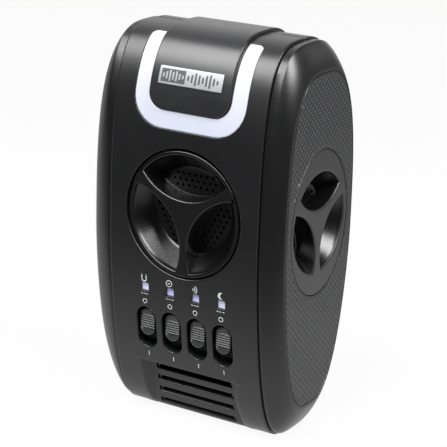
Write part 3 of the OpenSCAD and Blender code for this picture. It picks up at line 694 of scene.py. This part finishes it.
def front_cover():
    """The front half of the centre band, with all its openings and the vent recess."""
    outer = span_outline(0, HALF_BAND, skin.low_end + PART_GAP, skin.top - PART_GAP, COVER_CORNER, 3)
    openings = [(grille_opening, 0.5), (strip_outline(STRIP_GAP), 0.25)]
    for i in SWITCHES:
        window = node_middle(f"indicator_lens_{i}")
        openings.append((front_outline(window.x, WINDOW_HALF_W, window.z - WINDOW_HALF_H,
                                       window.z + WINDOW_HALF_H, WINDOW_CORNER, 3), 0.2))
        openings.append((front_outline(switch_x(i), SLOT_HALF_W, SLOT_LOW, SLOT_HIGH,
                                       SLOT_HALF_W - FULL_ROUND, 9), 0.35))
    for z in LOUVRE_Z:
        openings.append((span_outline(0, LOUVRE_HALF, louvre_s(z - LOUVRE_H / 2),
                                      louvre_s(z + LOUVRE_H / 2), 0.3, 3), 0.3))
    bm = plate(outer, openings, edge=COVER_EDGE)
    cut(bm, (0, 1, 0), skin.slices(skin.low_end, skin.top))
    cut_around_vent(bm)
    bend(bm, vent_sink)
    shell = make_piece("front_cover_shell", bm, case_plastic, stands_for=("front_cover",))
    # painted shade on the walls inside the louvre slots
    finish_where(shell, louvre_painted_shade, in_louvre)


def rear_cover():
    """The rear half of the centre band, with the plug's opening and the screws' wells."""
    low, high = skin.top + PART_GAP, skin.high_end - PART_GAP
    outer = span_outline(0, HALF_BAND, low, high, COVER_CORNER, 3)
    half_w, half_h = PLUG_HALF_W + PLUG_GAP, PLUG_HALF_H + PLUG_GAP
    openings = [(span_outline(0, half_w, skin.behind(half_h), skin.behind(-half_h), 2.0), 0.28)]
    for side in SIDES:
        for z in SCREW_Z:
            openings.append((circle_outline(side * SCREW_X, skin.behind(z), SCREW_WELL_R, 32), 0.28))
    bm = plate(outer, openings, edge=COVER_EDGE)
    cut(bm, (0, 1, 0), skin.slices(low, high))
    bend(bm)
    make_piece("rear_cover_shell", bm, case_plastic, stands_for=("rear_cover",))


def vent_ribs():
    """Two slim upright ribs that cross the louvre slots near their ends, a little sunk."""
    bm = bmesh.new()
    low, high = louvre_s(LOUVRE_Z[-1] - LOUVRE_H), louvre_s(LOUVRE_Z[0] + LOUVRE_H)
    for side in SIDES:
        outline = span_outline(side * RIB_X, RIB_HALF_W, low, high, 0.05, 1)
        add_to(bm, plate_sharp(outline(), (), RIB_T, 0))
    cut(bm, (0, 1, 0), np.arange(low, high, 1.2))
    bend(bm, lambda x, s: vent_sink(0, s) + RIB_SUNK)
    make_piece("vent_ribs", bm, case_plastic)


# -------- side caps

CAP_X = HALF_BAND + 0.3
BAND_PROUD = 0.8
RIM_W, RIM_FLARE = 1.2, 1.7          # the rim's width low down, and what it gains towards the top
RIM_CREASE = 0.08                    # how sharply the shoulder starts behind the rim at the top
SHOULDER_ROUND = 1.35
SIDE_HALF_H, SIDE_HALF_D, SIDE_Z, SIDE_Y = 63.2, 24.8, 1.2, 0.3
SIDE_SQUARES = (3.3, 2.7, 3.0, 1.6)
RIM_WIDENS = (20, 60)                # heights between which the rim gains its width
LIP_L, LIP_GAP = 3, 0.15             # the cap's lip inside the covers
SHOULDER_STEPS = (0, 0.02, 0.05, 0.09, 0.14, 0.2, 0.28, 0.36, 0.45, 0.54, 0.63, 0.72, 0.8, 0.87,
                  0.93, 0.975)
GROOVE_D = 0.28                      # the groove round the textured side
SEAT_D, SEAT_GAP, SEAT_W = 1.1, 0.15, 0.8    # the seat of the side grille's plate
DIAMOND_LEAN, DIAMOND_PITCH, DIAMOND_H, DIAMOND_REACH = 43, 1.85, 0.3, 78
PLATE_A, PLATE_B = 20.9, 27.3        # half width and half height of the side grille's plate
PLATE_Z = node_middle("side_grille_right").z
AROUND = np.concatenate([quarter(54) + 90 * k for k in range(4)])    # angles round a side cap


def case_ring(x, grow):
    loop = squared_loop(FRONT_DEPTH + grow, REAR_DEPTH + grow, HALF_H + grow, CASE_SQUARES, AROUND)
    return np.column_stack([np.full(len(loop), x), loop])


def side_ring(x, grow):
    loop = squared_loop(SIDE_HALF_D + grow, SIDE_HALF_D + grow, SIDE_HALF_H + grow, SIDE_SQUARES, AROUND)
    return np.column_stack([np.full(len(loop), x), loop + (SIDE_Y, SIDE_Z)])


def oval_ring(x, grow):
    a = np.radians(AROUND)
    return np.column_stack([np.full(len(a), x), (PLATE_A + grow) * np.cos(a),
                            PLATE_Z + (PLATE_B + grow) * np.sin(a)])


def swell(t):
    return 1 - (1 - t ** SHOULDER_ROUND) ** (1 / SHOULDER_ROUND)


def shoulder_ring(t, inset=0.0, before=0.0):
    """The rounded shoulder between the rim at t = 0 and the flat side at t = 1. Towards the top
    the rim is wider, and a crease parts it from the shoulder."""
    rim = case_ring(0, -BAND_PROUD - inset)
    high = np.clip((rim[:, 2] - RIM_WIDENS[0]) / (RIM_WIDENS[1] - RIM_WIDENS[0]), 0, 1)
    high = high * high * (3 - 2 * high)
    crease = RIM_CREASE * high
    k = ((swell(crease + t * (1 - crease)) - swell(crease)) / (1 - swell(crease)))[:, None]
    start = CAP_X + RIM_W + RIM_FLARE * high
    loop = rim * (1 - k) + side_ring(0, -inset) * k
    loop[:, 0] = start + t * (SIDE_X - start) - inset * (0.4 + 0.6 * t) - before
    return loop


def as_points(array):
    return [tuple(p) for p in array]


def diamonds(bm, outer, inner):
    """The flat side between two loops, cut into small raised diamonds."""
    known = set(bm.edges)
    # the fill's own edges are marked, and dissolved once the diamonds are cut
    fill(bm, outer + inner)
    for e in bm.edges:
        if e not in known:
            e.seam = True
    on_side = lambda v: abs(v.co.x - SIDE_X) < 1e-4
    for way in (-1, 1):
        lean = math.radians(DIAMOND_LEAN) * way
        cut(bm, (0, math.sin(lean), math.cos(lean)), np.arange(-DIAMOND_REACH, DIAMOND_REACH, DIAMOND_PITCH),
            lambda f: f.calc_center_median().x > SIDE_X - 0.01)
    old = [e for e in bm.edges if e.seam and all(on_side(v) for v in e.verts)]
    bmesh.ops.dissolve_edges(bm, edges=old, use_verts=False)
    whole = DIAMOND_PITCH ** 2 / math.sin(math.radians(2 * DIAMOND_LEAN))
    cells = [f for f in bm.faces if all(on_side(v) for v in f.verts) and 0.2 < f.calc_area() / whole < 1.5]
    peaks = bmesh.ops.poke(bm, faces=cells)["verts"]
    bmesh.ops.translate(bm, vec=(DIAMOND_H, 0, 0), verts=peaks)


def cap_mesh():
    """A side cap: lip, rim with its crease, shoulder, and the diamond-textured flat side."""
    bm = bmesh.new()
    # the lip and the rim, the shoulder, and the groove round the textured side
    rings = [case_ring(CAP_X - LIP_L, -WALL - LIP_GAP), case_ring(CAP_X, -WALL - LIP_GAP),
             case_ring(CAP_X, -BAND_PROUD - 0.15), case_ring(CAP_X + 0.05, -BAND_PROUD - 0.05),
             case_ring(CAP_X + 0.15, -BAND_PROUD), shoulder_ring(0.0, before=0.15)]
    rings += [shoulder_ring(t) for t in SHOULDER_STEPS]
    rings += [side_ring(SIDE_X - down, grow) for down, grow in (
        (0.06, 0.12), (0, -0.05), (0, -0.2), (GROOVE_D, -0.32), (GROOVE_D, -0.5), (0.04, -0.62),
        (0, -0.72), (0, -0.9))]
    lip, outer = loft(bm, [as_points(r) for r in rings])
    # the side grille's seat, and the inside back to the lip
    inner_rings = [oval_ring(SIDE_X - down, grow) for down, grow in (
        (0, 0.75), (0, 0.4), (0.07, 0.22), (0.25, SEAT_GAP), (SEAT_D, SEAT_GAP), (SEAT_D, -SEAT_W),
        (WALL, -SEAT_W))]
    inner_rings += [shoulder_ring(t, WALL) for t in (1, 0.8, 0.6, 0.4, 0.2, 0)]
    inner_rings += [case_ring(CAP_X - LIP_L + 0.05, -WALL - 1.35)]
    inner, back = loft(bm, [as_points(r) for r in inner_rings])
    diamonds(bm, outer, inner)
    bmesh.ops.bridge_loops(bm, edges=back + lip)
    return bm


def side_caps():
    for side, name in ((1, "right"), (-1, "left")):
        bm = cap_mesh()
        bmesh.ops.scale(bm, vec=(side, 1, 1), verts=bm.verts)
        cap = make_piece(f"side_cap_{name}_shell", bm, cap_plastic,
                         stands_for=(f"side_cap_{name}",), crease=28)
        finish_where(cap, panel_plastic, lambda place: abs(place.x) > SIDE_X - 0.15)


# -------- grilles

HUB_R, ARM_W = 5.2, 5.9
POCKET_D, FLOOR_T = 8.0, 1.2
WALL_IN, FLOOR_IN = 0.3, 0.5         # how far a pocket's hub-side wall and floor draw in
HOLE_R, HOLE_PITCH, HOLE_MARGIN = 0.6, 2.5, 0.45
LOBE_EDGE = 0.7                      # rounding of the lobes' rims
LOBE_TURNS = (math.pi / 2, math.pi * 7 / 6, math.pi * 11 / 6)
FRONT_GROOVE, FRONT_RIM, FRONT_FUNNEL = 0.8, 1.5, 5.8
FLANGE_W, FLANGE_NEAR, FLANGE_FAR = 2.2, 3.2, 4.6
SIDE_LOBE_R, SIDE_FUNNEL = 18.8, 5.4
PLATE_T, CUP_R = 1.05, 19.7


def lobe_reach(r):
    """From the grille's middle to the middle of a lobe's arc on the hub side."""
    half = math.radians(60) - math.asin(ARM_W / 2 / r)
    return (r * r - HUB_R * HUB_R) / (2 * (r * math.cos(half) - HUB_R))


def turned(u, v, turn):
    c, s = math.cos(turn), math.sin(turn)
    return u * c - v * s, u * s + v * c


def lobe(r, turn, grow_out=0.0, grow_in=0.0, count=28):
    """A lens between the arc of radius r around the grille's middle and the arc of its hub."""
    reach = lobe_reach(r)
    out_r, in_r = r + grow_out, reach - HUB_R + grow_in
    tip = math.acos((out_r ** 2 + reach ** 2 - in_r ** 2) / (2 * out_r * reach))
    in_tip = math.atan2(out_r * math.sin(tip), reach - out_r * math.cos(tip))
    loop = [(out_r * math.cos(a), out_r * math.sin(a)) for a in np.linspace(-tip, tip, count)]
    loop += [(reach - in_r * math.cos(a), in_r * math.sin(a))
             for a in np.linspace(in_tip, -in_tip, count)[1:-1]]
    return [turned(u, v, turn) for u, v in loop]


def hole_places(r, turn, shrink):
    """Middles of the sound holes that fit on a lobe's floor, in staggered rows."""
    reach = lobe_reach(r)
    margin = HOLE_R + HOLE_MARGIN
    rows = int(r / HOLE_PITCH) + 1
    for j in range(1, rows + 2):
        for i in range(-rows, rows + 1):
            u, v = j * HOLE_PITCH * 0.87, (i + (j % 2) / 2) * HOLE_PITCH
            if math.hypot(u, v) < r - shrink - margin and \
                    math.hypot(u - reach, v) < reach - HUB_R - FLOOR_IN - margin:
                yield turned(u, v, turn)


def grille_mesh(r, outer_rings, shrink):
    """A grille in (u, v, height): face, three funnelled pockets, and floors with sound holes.
    outer_rings run from the face's edge round the outside to the back."""
    bm = bmesh.new()
    face_edges, back_edges = loft(bm, outer_rings)
    hole_edges = []
    steps = [(grow, grow, down) for grow, down in edge_steps(LOBE_EDGE, 5)]
    steps += [(-shrink * k, -WALL_IN * k, LOBE_EDGE + (POCKET_D - LOBE_EDGE) * k)
              for k in (0.12, 0.3, 0.5, 0.7, 0.88, 0.97)]
    steps += [(-shrink - 0.25, -FLOOR_IN, POCKET_D)]
    for turn in LOBE_TURNS:
        rings = [[(u, v, -down) for u, v in lobe(r, turn, out, inn)] for out, inn, down in steps]
        first, floor = loft(bm, rings)
        face_edges += first
        holes = []
        for u, v in hole_places(r, turn, shrink):
            holes += ring(bm, [(x, y, -POCKET_D) for x, y in circle_outline(u, v, HOLE_R, 8)()])
        fill(bm, floor + holes)
        hole_edges += holes
    sunk = bmesh.ops.extrude_edge_only(bm, edges=hole_edges)["geom"]
    ends = [g for g in sunk if isinstance(g, bmesh.types.BMVert)]
    bmesh.ops.translate(bm, vec=(0, 0, -FLOOR_T), verts=ends)
    fill(bm, face_edges)
    fill(bm, back_edges + [g for g in sunk if isinstance(g, bmesh.types.BMEdge)
                           and all(abs(v.co.z + POCKET_D + FLOOR_T) < 1e-4 for v in g.verts)])
    return bm


def oval(half_w, half_h, down, count=120):
    turns = [2 * math.pi * k / count for k in range(count)]
    return [(half_w * math.cos(a), half_h * math.sin(a), -down) for a in turns]


def front_grille():
    """The round grille, a little sunk, with its flange behind the cover."""
    r = GRILLE_R - FRONT_GROOVE
    sizes = [(-grow, down) for grow, down in edge_steps(0.45, 4)]
    sizes += [(0, FLANGE_NEAR), (FLANGE_W, FLANGE_NEAR), (FLANGE_W, FLANGE_FAR), (0, FLANGE_FAR),
              (0, POCKET_D + FLOOR_T)]
    bm = grille_mesh(r - FRONT_RIM, [oval(r + grow, r + grow, down) for grow, down in sizes], FRONT_FUNNEL)
    face_y = node_box("front_grille")[0].y
    move_all(bm, lambda u, w, height: (u, face_y - height, GRILLE_Z + w))
    grille = make_piece("front_grille_shell", bm, grille_plastic,
                        stands_for=("front_grille",))
    finish_where(grille, pocket_plastic, lambda place: place.y > face_y + LOBE_EDGE + 0.1)


def side_grilles():
    """The oval grilles let into the side caps."""
    sizes = [(-grow, down) for grow, down in edge_steps(0.4, 3)] + [(0, PLATE_T)]
    rings = [oval(PLATE_A + grow, PLATE_B + grow, down) for grow, down in sizes]
    rings += [oval(CUP_R, CUP_R, down) for down in (PLATE_T, POCKET_D + FLOOR_T)]
    for side, name in ((1, "right"), (-1, "left")):
        bm = grille_mesh(SIDE_LOBE_R, rings, SIDE_FUNNEL)
        move_all(bm, lambda u, w, height: (side * (SIDE_X + height), u, PLATE_Z + w))
        grille = make_piece(f"side_grille_{name}_shell", bm, side_grille_plastic,
                            stands_for=(f"side_grille_{name}",))
        finish_where(grille, pocket_plastic, lambda place: abs(place.x) < SIDE_X - LOBE_EDGE - 0.1)


# -------- brow, strip and nameplate

def light_strip():
    """The U-shaped diffuser, a little sunk in its channel."""
    bm = plate(strip_outline(0.0), (), 1.9, 0.3, top=-0.2)
    on_skin(bm)
    make_piece("night_light_diffuser", bm, light_diffuser,
               stands_for=("night_light_strip",))


BROW_H, BROW_GAP, BROW_BACK_Y = 1.2, 0.5, 14
BROW_HALF = STRIP_HALF - STRIP_ARM - BROW_GAP


def brow():
    """The raised tongue inside the light strip that runs back over the top."""
    low, back = skin.at_z(STRIP_Z + STRIP_BAR + BROW_GAP), skin.over_top(BROW_BACK_Y)

    def outline(g=0.0):
        w, back_r, low_r = BROW_HALF + g, 0.5 + g, 6.5 + g
        return rounded([(-w, back + g, back_r), (-w, low - g, low_r),
                        (w, low - g, low_r), (w, back + g, back_r)], 8)

    bm = plate(outline, (), BROW_H - 0.03, 0.4, top=BROW_H)
    on_skin(bm, 2.0)
    make_piece("brow_panel_shell", bm, brow_plastic, stands_for=("brow_panel",))


NAME_LOW, NAME_HIGH = (corner.z for corner in node_box("nameplate"))
NAME_HALF_W = node_box("nameplate")[1].x
NAME_TOP = BROW_H + 0.35
NAME_FRAME = 0.85
DARK_BLOCK_X, DARK_BLOCK_W = -7.2, 10.0
DARK_BARS = (0.35, 0.6, 0.95, 0.7, 0.45, 0.8, 1.0, 0.55, 0.3)     # shares of the full height
LIGHT_BARS = (0.3, 0.55, 0.82, 0.6, 0.75, 0.45, 0.28)


def print_on_skin(name, outlines, finish, top, thick=0.06):
    """Flat printed shapes, each an outline with the outlines of its holes, laid on the skin."""
    bm = bmesh.new()
    for outline, *holes in outlines:
        add_to(bm, plate_sharp(outline, holes, thick, top))
    on_skin(bm, 2.5, 1.0)
    make_piece(name, bm, finish)


def bar(x, s, w, h, r=0.08):
    return [box_outline(x, s, w / 2, h / 2, r, 2)()]


def nameplate():
    """The silver plate with a plain pattern of level bars instead of lettering."""
    low, high = skin.at_z(NAME_LOW), skin.at_z(NAME_HIGH)
    mid, half = (low + high) / 2, (high - low) / 2
    bm = plate(box_outline(0, mid, NAME_HALF_W, half, 0.3, 3), (), 0.34, 0.08, NAME_TOP)
    on_skin(bm, 1.5)
    make_piece("nameplate_foil", bm, nameplate_metal, stands_for=("nameplate",))
    full = 2 * (half - NAME_FRAME)
    dark = [bar(DARK_BLOCK_X, mid, DARK_BLOCK_W, full)]
    dark += [bar(-0.9 + 1.5 * k, mid, 0.75, full * share) for k, share in enumerate(DARK_BARS)]
    print_on_skin("nameplate_dark_print", dark, dark_ink, NAME_TOP + 0.03)
    light = [bar(-11.2 + 1.33 * k, mid, 0.62, full * share) for k, share in enumerate(LIGHT_BARS)]
    print_on_skin("nameplate_light_print", light, nameplate_metal, NAME_TOP + 0.055)


# -------- switches and marks

KNOB_RIBS, RIB_PITCH, RIB_D = 6, 0.9, 0.4
KNOB_FACE_D = 1.2                    # the ribs reach this far below the knob's face
MARK_Z, DASH_Z, OFF_Z, ON_Z = -16.9, -22.9, -25.9, -47.9
LINE_W = 0.28                        # the width of most printed lines


def knob(i):
    """A slide knob with rounded ribs across its middle."""
    low, high = node_box(f"switch_knob_{i}")
    middle = (low + high) / 2
    half_w, half_h = (high.x - low.x) / 2, (high.z - low.z) / 2
    bm = plate(box_outline(0, 0, half_w, half_h, half_w - FULL_ROUND, 9), (), high.y - low.y, 0.5)
    reach = KNOB_RIBS / 2
    cut(bm, (0, 1, 0), np.arange(-reach, reach + 0.01, 1 / 8) * RIB_PITCH)

    def ribbed(x, s, height):
        dip = 0.0
        if abs(s) < reach * RIB_PITCH + 1e-4 and height > -KNOB_FACE_D:
            share = (s / RIB_PITCH + reach) % 1.0
            dip = RIB_D * (0.5 + 0.5 * math.cos(2 * math.pi * share)) ** 1.5
        return middle.x + x, low.y - height + dip, middle.z + s

    move_all(bm, ribbed)
    make_piece(f"switch_knob_{i}_shell", bm, knob_plastic, body=f"switch_{i}",
               stands_for=(f"switch_knob_{i}",))


def stroke(cx, cs, r, w, start, end, count=16):
    """A round stroke of width w along an arc, in degrees."""
    turns = np.radians(np.linspace(start, end, count))
    outer = [(cx + (r + w / 2) * math.cos(a), cs + (r + w / 2) * math.sin(a)) for a in turns]
    inner = [(cx + (r - w / 2) * math.cos(a), cs + (r - w / 2) * math.sin(a)) for a in turns[::-1]]
    return [outer + inner]


def hoop(x, s, r, w):
    return [circle_outline(x, s, r + w / 2, 28)(), circle_outline(x, s, r - w / 2, 28)()]


def magnet_mark(x, s):
    r, w = 0.95, 0.44
    legs = [bar(x + side * r, s + up, w, long) for up, long in ((0.72, 0.96), (1.6, 0.34)) for side in SIDES]
    return [stroke(x, s, r, w, 180, 360)] + legs


def ion_mark(x, s):
    return [hoop(x, s + 0.3, 1.2, LINE_W), bar(x, s + 0.3, 1.2, LINE_W)]


def sound_mark(x, s):
    return [stroke(x - 1.1, s + 0.3, r, 0.3, -42, 42) for r in (0.6, 1.35, 2.1)]


def moon_mark(x, s):
    """A crescent: a round outer arc, and a flatter one whose middle is shifted to the right."""
    x, s, r, shift = x + 0.3, s + 0.3, 1.35, 0.85
    outer = [(r * math.cos(a), r * math.sin(a)) for a in np.radians(np.linspace(62, 298, 22))]
    tip_x, tip_s = outer[0]
    back_r = math.hypot(tip_x - shift, tip_s)
    start = math.degrees(math.atan2(tip_s, tip_x - shift))
    back = np.radians(np.linspace(360 - start, start, 18))[1:-1]
    inner = [(shift + back_r * math.cos(a), back_r * math.sin(a)) for a in back]
    return [[[(x + u, s + v) for u, v in outer + inner]]]


def marks():
    """White prints: what each switch does, dashes under its window, and off and on."""
    for i, draw in zip(SWITCHES, (magnet_mark, ion_mark, sound_mark, moon_mark)):
        x = switch_x(i)
        shapes = draw(x, skin.at_z(MARK_Z))
        shapes += [bar(x + shift, skin.at_z(DASH_Z), 0.9, 0.24) for shift in (-1.2, 0, 1.2)]
        shapes += [hoop(x, skin.at_z(OFF_Z), 0.85, LINE_W), bar(x, skin.at_z(ON_Z), 0.34, 1.8)]
        print_on_skin(f"switch_marks_{i}", shapes, white_ink, 0.03)


# -------- back of the case

PLUG_INNER_Y = 22.5
BLADE_HOLE_IN, BLADE_HOLE_R = 4.5, 1.6


def plug():
    """The plug base that seats on the outlet, and its two blades."""
    seat = node_box("plug_base")[1].y
    bm = plate(box_outline(0, 0, PLUG_HALF_W, PLUG_HALF_H, 1.9), (), seat - PLUG_INNER_Y, 0.6)
    move_all(bm, lambda x, s, height: (x, seat + height, s))
    make_piece("plug_base_block", bm, plug_plastic, stands_for=("plug_base",))
    for name in ("left", "right"):
        low, high = node_box(f"plug_blade_{name}")
        bm = blade_mesh(*(high - low) / 2)
        bmesh.ops.translate(bm, vec=((low.x + high.x) / 2, (low.y + high.y) / 2, 0), verts=bm.verts)
        make_piece(f"plug_blade_{name}_pressed", bm, blade_metal,
                   stands_for=(f"plug_blade_{name}",))


def blade_mesh(half_t, half_l, half_w):
    """A pressed blade along Y with rounded tip corners, softened edges and its locking hole."""
    def outline(g=0.0):
        l, w, root_r, tip_r = half_l + g, half_w + g, 0.3 + g, 1.5 + g
        return rounded([(-l, -w, root_r), (l, -w, tip_r), (l, w, tip_r), (-l, w, root_r)], 5)

    bm = bmesh.new()
    face, back = [], []
    hole = circle_outline(half_l - BLADE_HOLE_IN, 0, BLADE_HOLE_R, 32)
    for loop, way, r in ((outline, -1, 0.25), (hole, 1, 0.15)):
        rings = [[(half_t - d, y, z) for y, z in loop(way * g)] for g, d in edge_steps(r, 2)]
        rings += [[(-half_t + d, y, z) for y, z in loop(way * g)] for g, d in reversed(edge_steps(r, 2))]
        first, last = loft(bm, rings)
        face += first
        back += last
    fill(bm, face)
    fill(bm, back)
    return bm


# -------- the nodes that stay

def finish_nodes():
    """Gives each CAD node that stays its finish."""
    by_slot = dict(
        indicator_lens=indicator_finish, switch_plastic=switch_plastic, black_epoxy=epoxy_black,
        circuit_board=circuit_board, light_board=light_board, led_body=led_body,
        transducer_metal=transducer_metal, ferrite=ferrite, copper_wire=copper_wire,
        capacitor_sleeve=capacitor_sleeve, fuse_body=fuse_body, module_potting=potting,
        lead_red=lead_red, lead_blue=lead_blue, lead_black=lead_black, screw_steel=screw_steel,
        case_plastic=case_plastic, cap_plastic=cap_plastic, brow_plastic=brow_plastic,
        nameplate_metal=nameplate_metal, light_diffuser=light_diffuser, grille_plastic=grille_plastic,
        knob_plastic=knob_plastic, plug_plastic=plug_plastic, blade_metal=blade_metal)
    for part in frame["record"]["subparts"]:
        node = frame["nodes"][part["node"]]
        for k in range(len(node.material_slots)):
            node.material_slots[k].material = by_slot[part["material_slot"]]


# -------- stage, light and camera

def white_floor():
    """A plain white floor whose light on the object fades in front of it and far behind it."""
    bm = bmesh.new()
    bmesh.ops.create_grid(bm, x_segments=1, y_segments=1, size=3.0)
    mesh = bpy.data.meshes.new("floor")
    bmesh.ops.translate(bm, vec=(0, 0, cad_low[2] - 0.0003), verts=bm.verts)
    bm.to_mesh(mesh)
    bm.free()
    sheet = bpy.data.objects.new("floor", mesh)
    bpy.context.scene.collection.objects.link(sheet)
    f = Finish("white floor", Roughness=0.9, Specular_IOR_Level=0.0, Emission_Strength=1.0,
               Base_Color=(0.03, 0.03, 0.03, 1))
    seen = f.add("ShaderNodeLightPath", {}, {}, "Is Camera Ray")
    depth = f.along("Y")
    near = depth.clamp(-0.19, -0.06) * (1 - 0.62 * depth.clamp(0.10, 0.34))
    glow = seen * 0.93 + (1 - seen) * (0.02 + near * 1.12)
    f.feed("Emission Color", f.mix(glow, (0, 0, 0, 1), (1, 1, 1, 1)))
    mesh.materials.append(f.material)


def surroundings():
    """White behind and above, where the case mirrors it, and dark in front."""
    world = bpy.data.worlds.new("studio")
    bpy.context.scene.world = world
    world.use_nodes = True
    sky = Nodes(world.node_tree)
    way = sky.add("ShaderNodeTexCoord", {}, {}, "Generated")
    x, y, z = (sky.axis(name, way) for name in "XYZ")
    low = (1 - z.clamp(0.30, 0.50)) * (1 - 0.75 * x.clamp(-0.05, 0.15))
    high = (1 - 0.3 * z.clamp(0.55, 0.9)) * (1 - x.clamp(-0.50, -0.22))
    back = y.clamp(-0.10, 0.30) * (low * 0.75 + z.clamp(0.30, 0.50) * high)
    seen = sky.add("ShaderNodeLightPath", {}, {}, "Is Camera Ray")
    level = seen * 0.5 + (1 - seen) * (0.017 + back * 0.70)
    colour = sky.mix(level, (0, 0, 0, 1), (2, 2, 2, 1))
    sky.tree.links.new(colour.socket, sky.tree.nodes["Background"].inputs["Color"])


def softbox(name, place, aim, width, height, power):
    data = bpy.data.lights.new(name, "AREA")
    data.shape, data.size, data.size_y, data.energy = "RECTANGLE", width, height, power
    lamp = bpy.data.objects.new(name, data)
    bpy.context.scene.collection.objects.link(lamp)
    lamp.location = place
    lamp.rotation_euler = (Vector(aim) - Vector(place)).to_track_quat("-Z", "Y").to_euler()


def lights():
    softbox("top softbox", (-0.19, -0.57, 0.70), (0, -0.03, 0.05), 0.95, 0.5, 21)
    softbox("right softbox", (0.53, -0.17, 0.63), (0, -0.03, 0.05), 0.36, 0.55, 13)
    softbox("back softbox", (0.45, 0.75, 0.55), (0, -0.03, 0.02), 0.5, 0.5, 0.5)


LENS, EYE = 131.33, (0.298747, -0.526845, 0.186912)
EYE_RIGHT = (0.85272929, 0.52147866, 0.03021192)
EYE_UP = (-0.18393739, 0.24563726, 0.95175069)
EYE_BACK = (0.48889651, -0.81714279, 0.30538151)


def camera():
    """Seen from the right, a little above, with a long lens."""
    data = bpy.data.cameras.new("camera")
    data.sensor_width, data.lens, data.clip_start, data.clip_end = 36.0, LENS, 0.01, 20.0
    eye = bpy.data.objects.new("camera", data)
    eye.matrix_world = Matrix.Translation(EYE) @ Matrix((EYE_RIGHT, EYE_UP, EYE_BACK)).transposed().to_4x4()
    bpy.context.scene.collection.objects.link(eye)
    bpy.context.scene.camera = eye


camera()
white_floor()
surroundings()
lights()
finish_nodes()
front_cover()
vent_ribs()
rear_cover()
side_caps()
front_grille()
side_grilles()
light_strip()
brow()
nameplate()
for number in SWITCHES:
    knob(number)
marks()
plug()
bpy.context.scene.view_settings.view_transform = "Standard"
